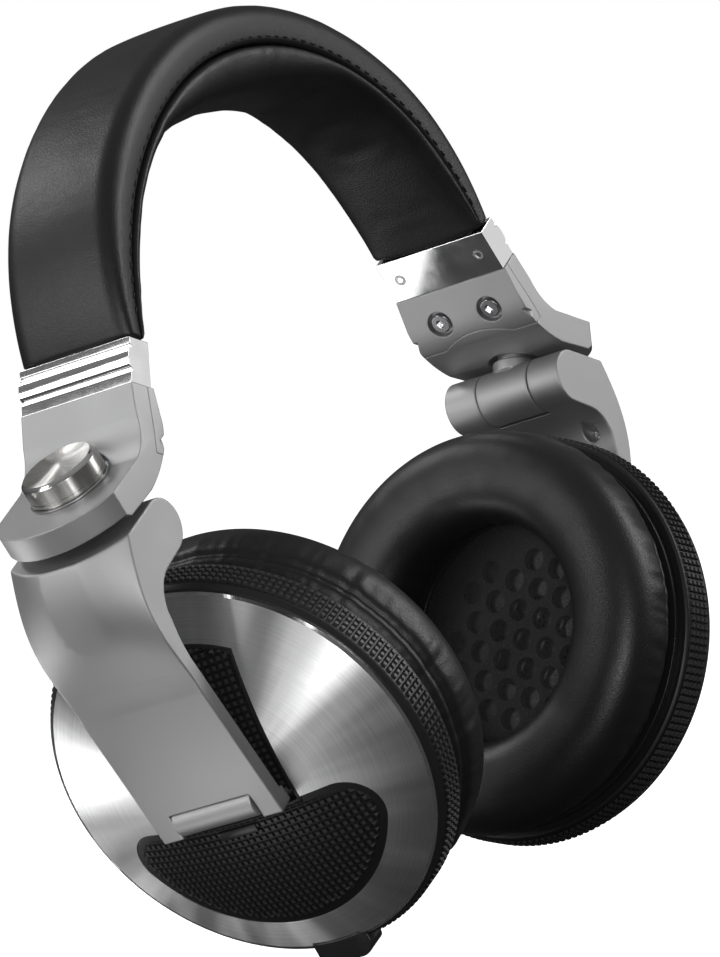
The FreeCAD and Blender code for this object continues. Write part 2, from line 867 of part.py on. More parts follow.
def tray_prism(name, inset=0):
    """The upper recess under the arm: straight sides, and a top edge that follows the cup."""
    half = dim["tray_half"] - inset
    top = dim["tray_top"] - inset
    end = dim["tray_end"] - inset
    side_x = -Size(math.sqrt(float(top) ** 2 - float(half) ** 2), f"sqrt({top.formula} ^ 2 - {half.formula} ^ 2)")
    points = [(end, -half), (end, half), (side_x, half), (side_x, -half, -top, 0, top)]
    body = extrude(name, points, 40.0, "XY_Plane")
    body.Placement.Base = Vector(0, 0, 25)
    return body


def bean_prism(name):
    """The lower inlay: a segment of a circle with rounded corners."""
    radius = dim["bean_radius"]
    chord = dim["bean_chord"]
    corner = dim["bean_round"]
    # centre of a corner arc: it touches the chord and the big circle from inside
    centre_x = float(chord + corner)
    reach = float(radius - corner)
    centre_y = math.sqrt(reach * reach - centre_x * centre_x)
    touch = float(radius) / reach
    big_x = centre_x * touch
    big_y = centre_y * touch
    lean = math.atan2(centre_y, centre_x)
    bisector = (lean + math.pi) / 2
    via_x = centre_x + float(corner) * math.cos(bisector)
    via_y = centre_y + float(corner) * math.sin(bisector)
    points = [
        (chord, centre_y),
        (big_x, big_y, via_x, via_y, corner),
        (big_x, -big_y, radius, 0, radius),
        (chord, -centre_y, via_x, -via_y, corner),
    ]
    body = start_body(name)
    sketch = start_sketch(body, "XY_Plane")
    draw(sketch, points)
    pad = body.newObject("PartDesign::Pad", f"{name}_pad")
    pad.Profile = sketch
    pad.Midplane = True
    bind(pad, "Length", 40.0)
    body.Placement.Base = Vector(0, 0, 25)
    return body


def dome(side):
    """Brushed metal back of the cup, open where the two inlays sit."""
    name = f"{side}_dome"
    sphere = dome_radius()
    edge = dim["dome_edge"]
    rim = dim["rim_radius"]
    wall = dim["dome_wall"]
    base = dim["rim_height"]
    inner_edge = edge - 1.4
    inner_sphere = sphere - wall
    points = [
        (0, dim["dome_apex"]),
        (edge, base + 0.7, edge / 2, sphere_height(edge / 2, sphere)),
        (rim, base + 0.3),
        (rim, base),
        (inner_edge, base),
        (inner_edge, sphere_height(inner_edge, inner_sphere)),
        (0, dim["dome_apex"] - wall, inner_edge / 2, sphere_height(inner_edge / 2, inner_sphere)),
    ]
    shell = revolve(f"{name}_shell", points)
    openings = [tray_prism(f"{name}_tray"), bean_prism(f"{name}_bean")]
    if side == "left":
        openings.append(inlet_block(f"{name}_inlet"))
        openings.append(socket_room(f"{name}_socket"))
    result = cut(f"{name}_cut", shell, *openings)
    sub_part(name, result, cup_frame, side)


def lower_inlay(side):
    name = f"{side}_lower_inlay"
    skin = common(f"{name}_skin", bean_prism(f"{name}_bean"), cap(f"{name}_outer", 0.15))
    result = cut(f"{name}_cut", skin, cap(f"{name}_inner", 1.3), tray_prism(f"{name}_tray"))
    sub_part(name, result, cup_frame, side)


def upper_inlay(side):
    """Sunken tray under the arm: a floor, and a rim up to the dome."""
    name = f"{side}_upper_inlay"
    depth = dim["tray_depth"]
    solid = common(f"{name}_solid", tray_prism(f"{name}_outline"), cap(f"{name}_outer", 0.15))
    well = cut(f"{name}_well", tray_prism(f"{name}_inside", dim["tray_rim"]), cap(f"{name}_floor", depth))
    result = cut(f"{name}_cut", solid, cap(f"{name}_under", depth + 1.2), well)
    sub_part(name, result, cup_frame, side)


def hinge_in_cup():
    """The tilt hinge, seen from the cup frame."""
    place = cup_frame.inverse() * arm_frame
    return place.Base


def cup_bracket(side):
    """Hinge barrel on a foot that stands on the floor of the upper inlay."""
    name = f"{side}_bracket"
    hinge = hinge_in_cup()
    wide = dim["hinge_width"]
    barrel = cross_rod(f"{name}_barrel", dim["hinge_radius"], wide, hinge.x, hinge.z)
    foot_low = (hinge.x - 3.5, -wide / 2, 14.0)
    foot_high = (hinge.x + 3.5, wide / 2, hinge.z)
    foot = block(f"{name}_foot", foot_low, foot_high)
    solid = fuse(f"{name}_solid", barrel, foot)
    hole = cross_rod(f"{name}_hole", dim["tilt_pin_radius"] + dim["pin_clearance"], 30.0, hinge.x, hinge.z)
    result = cut(f"{name}_cut", solid, cap(f"{name}_floor", dim["tray_depth"]), hole)
    sub_part(f"{side}_cup_bracket", result, cup_frame, side)


def inlet_block(name):
    """Rounded boss at the bottom of the left cup, in the cup frame."""
    half = dim["inlet_width"] / 2
    deep = dim["inlet_depth"] / 2
    centre = dim["inlet_height"]
    start = 38.0
    item = block(name, (start, -half, centre - deep), (dim["inlet_reach"], half, centre + deep))
    sides = soften(
        f"{name}_round",
        item,
        dim["inlet_round"],
        lambda edge: middle(edge).x > start + 1 and abs(middle(edge).y) > float(half) - 0.1,
    )
    under_dome = cylinder(f"{name}_under_dome", dim["dome_edge"] - 1.0, 10, (0, 0, dim["rim_height"] - 0.05))
    return cut(f"{name}_boss", sides, under_dome)


def cup_shell(side):
    name = f"{side}_cup_shell"
    outer = dim["shell_radius"]
    inner = outer - dim["shell_wall"]
    ring = dim["ring_radius"]
    shoulder = dim["ring_height"]
    base = dim["rim_height"]
    ledge = 3.0
    points = [
        (inner, 0),
        (outer, 0),
        (outer, shoulder),
        (ring, shoulder),
        (dim["rim_radius"] + 0.4, base),
        (inner, base),
        (inner, ledge + 3),
        (inner - 2.2, ledge + 1.5),
        (inner - 2.2, ledge),
        (inner, ledge),
    ]
    shell = revolve(f"{name}_body", points)
    if side == "left":
        shell = cut(f"{name}_cut", shell, inlet_block(f"{name}_inlet"), socket_room(f"{name}_socket"))
    sub_part(name, shell, cup_frame, side)


def grip_ring(side):
    name = f"{side}_grip_ring"
    inner = dim["shell_radius"]
    outer = dim["ring_radius"]
    top = dim["ring_height"]
    points = [(inner, 0), (outer - 0.6, 0), (outer, 0.6), (outer, top), (inner, top)]
    ring = revolve(f"{name}_body", points)
    if side == "left":
        ring = cut(f"{name}_cut", ring, inlet_block(f"{name}_inlet"))
    sub_part(name, ring, cup_frame, side)


def baffle(side):
    """Perforated plate between the ear and the driver."""
    name = f"{side}_baffle"
    thick = dim["baffle_thickness"]
    body = start_body(name)
    sketch = start_sketch(body, "XY_Plane", "disc")
    circle = sketch.addGeometry(Part.Circle(Vector(), UP, 43.0))
    constrain(sketch, "Coincident", circle, 3, -1, 1)
    constrain(sketch, "Radius", circle, size=dim["shell_radius"] - dim["shell_wall"] - 0.05)
    for x, y in hexagonal_places(float(dim["sound_hole_pitch"]), 19.5):
        hole = sketch.addGeometry(Part.Circle(Vector(x, y, 0), UP, 2.0))
        constrain(sketch, "Radius", hole, size=dim["sound_hole_radius"])
        constrain(sketch, "DistanceX", -1, 1, hole, 3, size=x)
        constrain(sketch, "DistanceY", -1, 1, hole, 3, size=y)
    pad = body.newObject("PartDesign::Pad", f"{name}_pad")
    pad.Profile = sketch
    bind(pad, "Length", thick)
    place = FreeCAD.Placement(Vector(0, 0, 3.0 - float(thick)), FreeCAD.Rotation())
    sub_part(name, body, cup_frame * place, side)


def hexagonal_places(pitch, reach):
    """Centres of a honeycomb pattern inside a circle."""
    places = []
    rows = int(reach / (pitch * math.sqrt(0.75))) + 1
    for row in range(-rows, rows + 1):
        shift = pitch / 2 if row % 2 else 0
        for column in range(-rows - 1, rows + 2):
            x = column * pitch + shift
            y = row * pitch * math.sqrt(0.75)
            if math.hypot(x, y) <= reach:
                places.append((x, y))
    return places


def driver_motor(side):
    """Driver basket with its magnet."""
    radius = dim["driver_radius"]
    points = [
        (radius - 1.5, 3.05),
        (radius + 1.5, 3.05),
        (radius + 1.5, 5.5),
        (15.0, 9.0),
        (15.0, 16.5),
        (4.0, 16.5),
        (4.0, 8.0),
        (14.0, 7.6),
        (radius - 1.5, 4.6),
    ]
    sub_part(f"{side}_driver_motor", revolve(f"{side}_motor", points), cup_frame, side)


def diaphragm(side):
    """Thin membrane with a raised middle, in front of the magnet."""
    edge = dim["driver_radius"] - 1.6
    points = [
        (edge, 3.3),
        (edge, 4.1),
        (12.0, 4.1),
        (12.0, 5.6),
        (0, 5.6),
        (0, 4.8),
        (11.2, 4.8),
        (11.2, 3.3),
    ]
    sub_part(f"{side}_diaphragm", revolve(f"{side}_diaphragm_body", points), cup_frame, side)


def pad_ring(side):
    """Plastic ring that clips the ear pad to the cup."""
    low = -dim["pad_ring_thickness"]
    points = [(28.0, low), (45.6, low), (45.6, -0.02), (28.0, -0.02)]
    sub_part(f"{side}_pad_ring", revolve(f"{side}_pad_ring_body", points), cup_frame, side)


def ear_pad(side):
    """Plain ring with rounded edges."""
    base = -dim["pad_ring_thickness"]
    face = base - dim["pad_thickness"]
    outer = dim["pad_radius"]
    inner = dim["pad_opening"]
    edge = dim["pad_round"]
    slope = float(edge) * math.sqrt(0.5)
    points = [
        (inner + 2, base),
        (inner, base - 3),
        (inner, face + edge),
        (inner + edge, face, inner + edge - slope, face + edge - slope, edge),
        (outer - edge, face),
        (outer, face + edge, outer - edge + slope, face + edge - slope, edge),
        (outer, base - 3),
        (outer - 2.4, base),
    ]
    sub_part(f"{side}_ear_pad", revolve(f"{side}_ear_pad_body", points), cup_frame, side)


def speaker_mesh(side):
    """Cloth disc inside the pad."""
    points = [(0, -1.3), (28.0, -1.3), (28.0, -0.8), (0, -0.8)]
    sub_part(f"{side}_speaker_mesh", revolve(f"{side}_mesh_body", points), cup_frame, side)


def cup_screws(side):
    """Four screws that hold the baffle to the shell."""
    name = f"{side}_cup_screw"
    screws = []
    for index in range(4):
        angle = math.radians(45 + 90 * index)
        place = (38.0 * math.cos(angle), 38.0 * math.sin(angle), 0.2)
        head = cylinder(f"{name}_head_{index}", 2.0, 1.0, place)
        drive = cylinder(f"{name}_drive_{index}", 0.8, 0.6, (place[0], place[1], 0.1))
        screws.append(cut(f"{name}_{index}", head, drive))
    group = document.addObject("Part::Compound", f"{name}_group")
    group.Links = screws
    sub_part(f"{side}_cup_screws", group, cup_frame, side)


# ---------------------------------------------------------------- cable inlet of the left cup
def socket_rod(name, radius, start=0.0, length=20.0):
    """A rod along the socket, from a distance inside its floor."""
    floor = dim["inlet_reach"] - dim["socket_length"] + start
    return cylinder(name, radius, length, (floor, 0, dim["inlet_height"]), Vector(1, 0, 0))


def socket_room(name):
    """The round room that the sleeve fills in the parts about it."""
    return socket_rod(name, dim["socket_radius"] + dim["socket_wall"])


def cable_inlet():
    seat = socket_room("inlet_seat")
    sub_part("left_cable_inlet", cut("inlet_cut", inlet_block("inlet_boss"), seat), cup_frame, "left")


def socket_sleeve():
    outer = socket_rod("sleeve_outer", dim["socket_radius"] + dim["socket_wall"], length=dim["socket_length"])
    bore = socket_rod("sleeve_bore", dim["socket_radius"], start=-1.0)
    sub_part("left_socket_sleeve", cut("sleeve_cut", outer, bore), cup_frame, "left")


# ---------------------------------------------------------------- assembly
def build():
    sub_part("headband_core", core_strip("core"))
    headband_cover()
    headband_cushion()
    collar_screws()
    each_side = [
        collar,
        slide_guide,
        slide_blade,
        housing,
        housing_cover,
        housing_screws,
        swivel_yoke,
        swivel_washer,
        knob,
        arm,
        arm_screw,
        fold_pin,
        tilt_pin,
        dome,
        lower_inlay,
        upper_inlay,
        cup_bracket,
        cup_shell,
        grip_ring,
        baffle,
        driver_motor,
        diaphragm,
        pad_ring,
        ear_pad,
        speaker_mesh,
        cup_screws,
    ]
    for side in ("left", "right"):
        for piece in each_side:
            piece(side)
    cable_inlet()
    socket_sleeve()
    document.recompute()


def check():
    """Refuse a failed object or a bad shape."""
    for item in document.Objects:
        if "Invalid" in item.State or "Error" in item.State:
            raise RuntimeError(f"{item.Name} failed: {item.State}")
    for item in sub_parts:
        if item.Shape.isNull() or not item.Shape.isValid() or not item.Shape.Solids:
            raise RuntimeError(f"{item.Label} has no good shape")


def export():
    os.makedirs("parts", exist_ok=True)
    for item in sub_parts:
        item.Shape.exportStep(f"parts/{item.Label}.step")
        box = item.Shape.optimalBoundingBox()
        low = f"{box.XMin:.1f} {box.YMin:.1f} {box.ZMin:.1f}"
        high = f"{box.XMax:.1f} {box.YMax:.1f} {box.ZMax:.1f}"
        print(f"{item.Label}: {len(item.Shape.Solids)} solids, {item.Shape.Volume:.0f} mm3, {low} to {high}")


build()
check()
export()
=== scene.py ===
"""Over-ear headphones: the looks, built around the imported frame.

Local shapes are in millimetres, in the same local frames as the working parts, and every
finished piece is in metres with its place in its mesh.
"""
import json
import math

import bmesh
import bpy
from bpy.props import FloatProperty, FloatVectorProperty, IntProperty, PointerProperty
from mathutils import Matrix, Vector, noise


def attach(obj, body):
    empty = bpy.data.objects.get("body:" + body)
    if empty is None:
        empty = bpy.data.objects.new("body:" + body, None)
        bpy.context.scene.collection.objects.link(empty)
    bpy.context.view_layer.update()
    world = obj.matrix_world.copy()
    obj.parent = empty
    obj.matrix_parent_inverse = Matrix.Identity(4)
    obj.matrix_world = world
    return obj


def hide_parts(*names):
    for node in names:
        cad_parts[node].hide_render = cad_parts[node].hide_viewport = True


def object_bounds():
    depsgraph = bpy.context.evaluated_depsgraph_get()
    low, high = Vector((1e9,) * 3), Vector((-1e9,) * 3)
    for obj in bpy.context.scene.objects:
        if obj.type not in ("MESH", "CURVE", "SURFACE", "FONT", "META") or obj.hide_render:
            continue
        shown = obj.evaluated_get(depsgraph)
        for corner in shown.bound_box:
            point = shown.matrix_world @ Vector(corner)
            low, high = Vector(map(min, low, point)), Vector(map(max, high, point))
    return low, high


bl_info = {
    "name": "Over-ear headphones",
    "version": (1, 0, 0),
    "blender": (4, 5, 0),
    "location": "3D View > Sidebar > Headphones",
    "description": "Builds the looks of a pair of folding over-ear headphones around their frame",
    "category": "Object",
}

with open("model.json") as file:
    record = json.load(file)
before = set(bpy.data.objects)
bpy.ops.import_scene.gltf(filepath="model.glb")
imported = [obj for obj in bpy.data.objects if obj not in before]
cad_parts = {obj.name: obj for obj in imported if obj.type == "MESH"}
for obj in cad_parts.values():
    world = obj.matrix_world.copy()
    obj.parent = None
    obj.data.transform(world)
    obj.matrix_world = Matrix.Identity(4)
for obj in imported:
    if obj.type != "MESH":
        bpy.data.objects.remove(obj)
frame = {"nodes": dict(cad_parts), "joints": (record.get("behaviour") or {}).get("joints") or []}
cad_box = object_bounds()
MM = 0.001
SIDES = ("left", "right")


# ---------------------------------------------------------------- local frames, from the joints
def joint(name):
    return [entry for entry in frame["joints"] if entry["name"] == name][0]


def leaning(place, degrees):
    """A local frame in the middle plane; a positive angle leans its Z towards +X."""
    return Matrix.Translation(Vector(place)) @ Matrix.Rotation(math.radians(degrees), 4, "Y")


slide_axis = joint("right_slide")["axis"]
swivel_axis = joint("right_swivel_turn")["axis"]
SLIDER_ANGLE = math.degrees(math.atan2(slide_axis[0], -slide_axis[2]))
SWIVEL_ANGLE = math.degrees(math.atan2(swivel_axis[0], swivel_axis[2]))
ARM_ANGLE = 26.2
CUP_ANGLE = 19.6
SLIDER = leaning((80.15 * MM, 0, 85.5 * MM), -SLIDER_ANGLE)
SWIVEL = leaning(joint("right_swivel_turn")["pos_m"], SWIVEL_ANGLE)
ARM = leaning(joint("right_tilt")["pos_m"], ARM_ANGLE)
CUP = leaning((57.4 * MM, 0, 0), 90 + CUP_ANGLE)
WORLD = Matrix()


def on_side(side, place):
    """The same local frame on either side: the left one is turned half a turn about Z."""
    return Matrix.Rotation(math.pi, 4, "Z") @ place if side == "left" else place


# ---------------------------------------------------------------- settings
class BandSettings(bpy.types.PropertyGroup):
    leather: FloatVectorProperty(
        name="Leather", description="Colour of the leather", subtype="COLOR", size=3,
        min=0, max=1, default=(0.0105, 0.0105, 0.011),
    )
    grain: FloatProperty(
        name="Grain", description="Size of one leather grain", unit="LENGTH", default=0.75 * MM,
    )
    stitch_pitch: FloatProperty(
        name="Stitch pitch", description="Distance from stitch to stitch", unit="LENGTH", default=3.4 * MM,
    )
    fullness: FloatProperty(
        name="Fullness", description="How far the headband cushion may swell", unit="LENGTH",
        default=1.4 * MM,
    )


class MetalSettings(bpy.types.PropertyGroup):
    silver: FloatVectorProperty(
        name="Satin silver", description="Colour of the housings and arms", subtype="COLOR", size=3,
        min=0, max=1, default=(0.46, 0.46, 0.465),
    )
    edge_round: FloatProperty(
        name="Edge rounding", description="How wide the light catches on satin edges", unit="LENGTH",
        default=0.45 * MM,
    )


class CupSettings(bpy.types.PropertyGroup):
    pyramid_pitch: FloatProperty(
        name="Pyramid pitch", description="Pitch of the small pyramids of the inlays", unit="LENGTH",
        default=1.72 * MM,
    )
    pyramid_height: FloatProperty(
        name="Pyramid height", description="Height of the small pyramids", unit="LENGTH", default=0.6 * MM,
    )
    grip_rows: IntProperty(name="Grip rows", description="Rows of pyramids around the grip ring", default=4)
    pad_fill: FloatProperty(
        name="Pad fill", description="From 0, slack, to 1, tight", subtype="FACTOR", min=0, max=1,
        default=0.75,
    )
    pad_swell: FloatProperty(
        name="Pad swell", description="How far an ear pad may swell", unit="LENGTH", default=1.0 * MM,
    )


class StageSettings(bpy.types.PropertyGroup):
    floor: FloatVectorProperty(
        name="Floor", description="Colour of the floor", subtype="COLOR", size=3,
        min=0, max=1, default=(0.93, 0.93, 0.93),
    )
    key_light: FloatProperty(name="Key light", description="Strength of the main light", default=9.0)
    lens: FloatProperty(name="Lens", description="Focal length of the camera", default=292.25)


# ---------------------------------------------------------------- mesh helpers
def finish_mesh(bm, name, side="right", place=WORLD, smooth=True):
    """Turn a local shape in millimetres into an object at the origin, in metres."""
    bm.transform(on_side(side, place) @ Matrix.Scale(MM, 4))
    for face in bm.faces:
        face.smooth = smooth
    mesh = bpy.data.meshes.new(name)
    bm.to_mesh(mesh)
    bm.free()
    piece = bpy.data.objects.new(name, mesh)
    bpy.context.scene.collection.objects.link(piece)
    return piece


def dress(piece, body, slot, *replaced):
    """Give a piece its finish, its body and the nodes that it stands for."""
    if not piece.data.materials:
        piece.data.materials.append(finish(slot))
    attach(piece, body)
    if replaced:
        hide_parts(*replaced)
    return piece


def merged_copy(node, local=WORLD):
    """A copy of a working part with its triangles joined, in millimetres of a local frame."""
    bm = bmesh.new()
    bm.from_mesh(frame["nodes"][node].data)
    bm.transform(Matrix.Scale(1 / MM, 4) @ local.inverted())
    bmesh.ops.remove_doubles(bm, verts=bm.verts, dist=0.002)
    return bm


def flatten_faces(bm, degrees=0.6):
    bmesh.ops.dissolve_limit(bm, angle_limit=math.radians(degrees), verts=bm.verts, edges=bm.edges)
    return bm


def round_edges(piece, width, segments=2, degrees=28):
    """Rounded edges, with the shading kept flat on the large faces."""
    bevel = piece.modifiers.new("Edge rounding", "BEVEL")
    bevel.width = width
    bevel.segments = segments
    bevel.limit_method = "ANGLE"
    bevel.angle_limit = math.radians(degrees)
    bevel.profile = 0.5
    bevel.miter_outer = "MITER_ARC"
    bevel.use_clamp_overlap = False
    shading = piece.modifiers.new("Even shading", "WEIGHTED_NORMAL")
    shading.weight = 50
    shading.keep_sharp = False
    return piece


def metal_copy(node, body, slot, width, segments=2):
    """A working part with soft edges, in place of the plain one."""
    bm = flatten_faces(merged_copy(node))
    piece = finish_mesh(bm, f"{node}_body")
    round_edges(piece, width, segments)
    return dress(piece, body, slot, node)


def grid_shape(columns, rows, spot):
    """A grid laid through a function of two shares from 0 to 1, joined where its sides meet."""
    bm = bmesh.new()
    bmesh.ops.create_grid(bm, x_segments=columns, y_segments=rows, size=0.5)
    for vert in bm.verts:
        vert.co = spot(vert.co.x + 0.5, vert.co.y + 0.5)
    bmesh.ops.remove_doubles(bm, verts=bm.verts, dist=0.0005)
    return bm


def fill_ends(bm):
    """Close the two open ends of a tube."""
    ends = [edge for edge in bm.edges if edge.is_boundary]
    bmesh.ops.holes_fill(bm, edges=ends, sides=0)
    bmesh.ops.recalc_face_normals(bm, faces=bm.faces)


def smooth_out(piece, name="Smooth leather"):
    """One level of smoothing, in the view and in the render."""
    smooth = piece.modifiers.new(name, "SUBSURF")
    smooth.levels = 1
    smooth.render_levels = 1


def turned_shape(profile, steps=96):
    """A closed outline of (radius, height) points, spun about Z."""
    bm = bmesh.new()
    verts = [bm.verts.new((radius, 0, height)) for radius, height in profile]
    edges = [bm.edges.new((verts[i - 1], verts[i])) for i in range(len(verts))]
    bmesh.ops.spin(
        bm, geom=verts + edges, cent=(0, 0, 0), axis=(0, 0, 1), angle=math.tau, steps=steps, use_merge=True,
    )
    bmesh.ops.remove_doubles(bm, verts=bm.verts, dist=0.0005)
    bmesh.ops.recalc_face_normals(bm, faces=bm.faces)
    return bm


def add_shape(bm, other):
    """Put a second bmesh into a first one."""
    carrier = bpy.data.meshes.new("carrier")
    other.to_mesh(carrier)
    other.free()
    bm.from_mesh(carrier)
    bpy.data.meshes.remove(carrier)


def wander(x, y=0.0, z=0.0):
    """Smooth seeded noise from -1 to 1."""
    return noise.noise(Vector((x, y, z)))


# ---------------------------------------------------------------- finishes
def shader_of(name, colour, metallic, roughness, **more):
    material = bpy.data.materials.new(name)
    material.use_nodes = True
    shader = material.node_tree.nodes["Principled BSDF"]
    shader.inputs["Base Color"].default_value = (*colour, 1)
    shader.inputs["Metallic"].default_value = metallic
    shader.inputs["Roughness"].default_value = roughness
    for socket, value in more.items():
        shader.inputs[socket.replace("_", " ")].default_value = value
    material.diffuse_color = (*colour, 1)
    return material, material.node_tree, shader


def object_mm(tree, scale=(1, 1, 1), turn=(0, 0, 0)):
    """Object coordinates in millimetres."""
    source = tree.nodes.new("ShaderNodeTexCoord")
    mapping = tree.nodes.new("ShaderNodeMapping")
    mapping.inputs["Scale"].default_value = [value / MM for value in scale]
    mapping.inputs["Rotation"].default_value = turn
    tree.links.new(source.outputs["Object"], mapping.inputs["Vector"])
    return mapping.outputs["Vector"]


def along_turning(tree, around, across):
    """Coordinates for the marks of a lathe: far apart around the axis, close together across it."""
    source = tree.nodes.new("ShaderNodeUVMap")
    source.uv_map = "turning"
    mapping = tree.nodes.new("ShaderNodeMapping")
    mapping.inputs["Scale"].default_value = (across, around, 1)
    tree.links.new(source.outputs["UV"], mapping.inputs["Vector"])
    return mapping.outputs["Vector"]


def noise_of(tree, vector, scale, detail=2.0, roughness=0.5):
    node = tree.nodes.new("ShaderNodeTexNoise")
    node.inputs["Scale"].default_value = scale
    node.inputs["Detail"].default_value = detail
    node.inputs["Roughness"].default_value = roughness
    tree.links.new(vector, node.inputs["Vector"])
    return node.outputs["Fac"]


def cells_of(tree, vector, scale, feature="DISTANCE_TO_EDGE"):
    node = tree.nodes.new("ShaderNodeTexVoronoi")
    node.feature = feature
    node.inputs["Scale"].default_value = scale
    tree.links.new(vector, node.inputs["Vector"])
    return node.outputs["Distance"]


def ranged(tree, value, low, high, out_low, out_high):
    node = tree.nodes.new("ShaderNodeMapRange")
    node.inputs["From Min"].default_value = low
    node.inputs["From Max"].default_value = high
    node.inputs["To Min"].default_value = out_low
    node.inputs["To Max"].default_value = out_high
    tree.links.new(value, node.inputs["Value"])
    return node.outputs["Result"]


def two_colours(tree, factor, first, second, shader):
    node = tree.nodes.new("ShaderNodeMix")
    node.data_type = "RGBA"
    node.inputs[6].default_value = (*first, 1)
    node.inputs[7].default_value = (*second, 1)
    tree.links.new(factor, node.inputs[0])
    tree.links.new(node.outputs[2], shader.inputs["Base Color"])


def soft_edge(tree):
    """The light catching the finest rounding of an edge."""
    node = tree.nodes.new("ShaderNodeBevel")
    node.samples = 6
    node.inputs["Radius"].default_value = bpy.context.scene.headphone_metal.edge_round
    return node.outputs["Normal"]


def relief(tree, shader, height, depth_mm, strength=1.0, under=None):
    """A bump of a given depth, on top of an earlier one."""
    node = tree.nodes.new("ShaderNodeBump")
    node.inputs["Strength"].default_value = strength
    node.inputs["Distance"].default_value = depth_mm * MM
    tree.links.new(height, node.inputs["Height"])
    if under:
        tree.links.new(under, node.inputs["Normal"])
    tree.links.new(node.outputs["Normal"], shader.inputs["Normal"])
    return node.outputs["Normal"]


def shade(colour, factor):
    return tuple(min(1.0, channel * factor) for channel in colour)


def satin_metal(name, colour, roughness):
    """Bead-blasted metal: a very fine even tooth and slow changes of gloss."""
    material, tree, shader = shader_of(name, colour, 1.0, roughness)
    place = object_mm(tree)
    tooth = noise_of(tree, place, 5.5, 2.0)
    cloud = noise_of(tree, place, 0.06, 3.0)
    two_colours(tree, cloud, shade(colour, 0.94), shade(colour, 1.04), shader)
    gloss = ranged(tree, cloud, 0.3, 0.7, roughness - 0.03, roughness + 0.04)
    tree.links.new(gloss, shader.inputs["Roughness"])
    relief(tree, shader, tooth, 0.012, 0.5, soft_edge(tree))
    return material


def polished_metal(name, colour, roughness):
    """Polished metal with faint handling marks."""
    material, tree, shader = shader_of(name, colour, 1.0, roughness)
    place = object_mm(tree)
    smudge = noise_of(tree, place, 0.18, 4.0, 0.6)
    hairline = noise_of(tree, object_mm(tree, (0.15, 6, 6)), 1.0, 2.0)
    two_colours(tree, smudge, shade(colour, 0.96), colour, shader)
    gloss = ranged(tree, smudge, 0.35, 0.75, roughness, roughness + 0.07)
    tree.links.new(gloss, shader.inputs["Roughness"])
    relief(tree, shader, hairline, 0.0015, 0.6)
    return material


def turned_metal(name, colour, roughness, anisotropy, depth=0.002):
    """Metal brushed around an axis, with its reflection stretched across the turning. Broad bands around
    the axis lighten and darken its colour: partly the metal's own streaks, partly a painted highlight that
    copies the reflected light.
    """
    material, tree, shader = shader_of(name, colour, 1.0, roughness, Anisotropic=anisotropy)
    tangent = tree.nodes.new("ShaderNodeTangent")
    tangent.direction_type = "UV_MAP"
    tangent.uv_map = "turning"
    tree.links.new(tangent.outputs["Tangent"], shader.inputs["Tangent"])
    fine = noise_of(tree, along_turning(tree, 5.0, 150.0), 1.0, 4.0, 0.7)
    # Broad bands around the axis: in the colour, partly the metal's own streaks and partly a painted
    # highlight; in the roughness, gloss streaks.
    streaks_and_painted_highlight = noise_of(tree, along_turning(tree, 22.0, 0.5), 1.0, 2.0, 0.6)
    marks = tree.nodes.new("ShaderNodeMath")
    marks.operation = "ADD"
    tree.links.new(ranged(tree, fine, 0.3, 0.7, -0.35, 0.35), marks.inputs[0])
    tree.links.new(ranged(tree, streaks_and_painted_highlight, 0.35, 0.65, 0.0, 1.0), marks.inputs[1])
    # Colour from the fine lathe marks, the metal's own tone, and from the broad bands, partly real streaks
    # and partly a painted highlight.
    two_colours(tree, marks.outputs[0], shade(colour, 0.78), shade(colour, 1.15), shader)
    gloss = ranged(tree, streaks_and_painted_highlight, 0.3, 0.7, roughness - 0.08, roughness + 0.08)
    tree.links.new(gloss, shader.inputs["Roughness"])
    relief(tree, shader, fine, depth, 0.7)
    return material


def moulded(name, colour, roughness, tooth_mm=0.35, depth=0.02):
    """Moulded plastic or rubber with a fine spark-eroded tooth."""
    material, tree, shader = shader_of(name, colour, 0.0, roughness)
    place = object_mm(tree)
    tooth = noise_of(tree, place, 1 / tooth_mm, 3.0, 0.6)
    cloud = noise_of(tree, place, 0.12, 2.0)
    two_colours(tree, cloud, shade(colour, 0.85), shade(colour, 1.2), shader)
    gloss = ranged(tree, tooth, 0.3, 0.7, roughness - 0.06, roughness + 0.08)
    tree.links.new(gloss, shader.inputs["Roughness"])
    relief(tree, shader, tooth, depth, 0.6)
    return material


def leather(name):
    """Soft leather: small grain cells, slow creases and a gentle sheen."""
    band = bpy.context.scene.headphone_band
    colour = tuple(band.leather)
    material, tree, shader = shader_of(name, colour, 0.0, 0.4, Specular_IOR_Level=0.45)
    place = object_mm(tree)
    cells = cells_of(tree, place, MM / band.grain)
    pores = noise_of(tree, place, 2.6, 3.0, 0.6)
    crease = noise_of(tree, place, 0.09, 4.0, 0.55)
    grain_height = ranged(tree, cells, 0.0, 0.28, 0.0, 1.0)
    two_colours(tree, crease, shade(colour, 0.8), shade(colour, 1.35), shader)
    tree.links.new(ranged(tree, pores, 0.3, 0.7, 0.36, 0.5), shader.inputs["Roughness"])
    first = relief(tree, shader, crease, 0.35, 0.35)
    second = relief(tree, shader, grain_height, 0.03, 0.55, first)
    relief(tree, shader, pores, 0.02, 0.5, second)
    return material


def cloth_mesh(name):
    """Thin open cloth: rows of small holes, and the threads between them."""
    material, tree, shader = shader_of(name, (0.01, 0.01, 0.01), 0.0, 0.8)
    place = object_mm(tree)
    holes = cells_of(tree, place, 1.35, "F1")
    tree.links.new(ranged(tree, holes, 0.2, 0.36, 0.1, 0.62), shader.inputs["Alpha"])
    relief(tree, shader, holes, 0.15, 0.7)
    return material


def thread(name):
    material, tree, shader = shader_of(name, (0.008, 0.008, 0.008), 0.0, 0.6)
    strand = noise_of(tree, object_mm(tree, (1, 1, 1)), 4.5, 2.0)
    two_colours(tree, strand, (0.005, 0.005, 0.005), (0.012, 0.012, 0.012), shader)
    relief(tree, shader, strand, 0.08, 0.8)
    return material


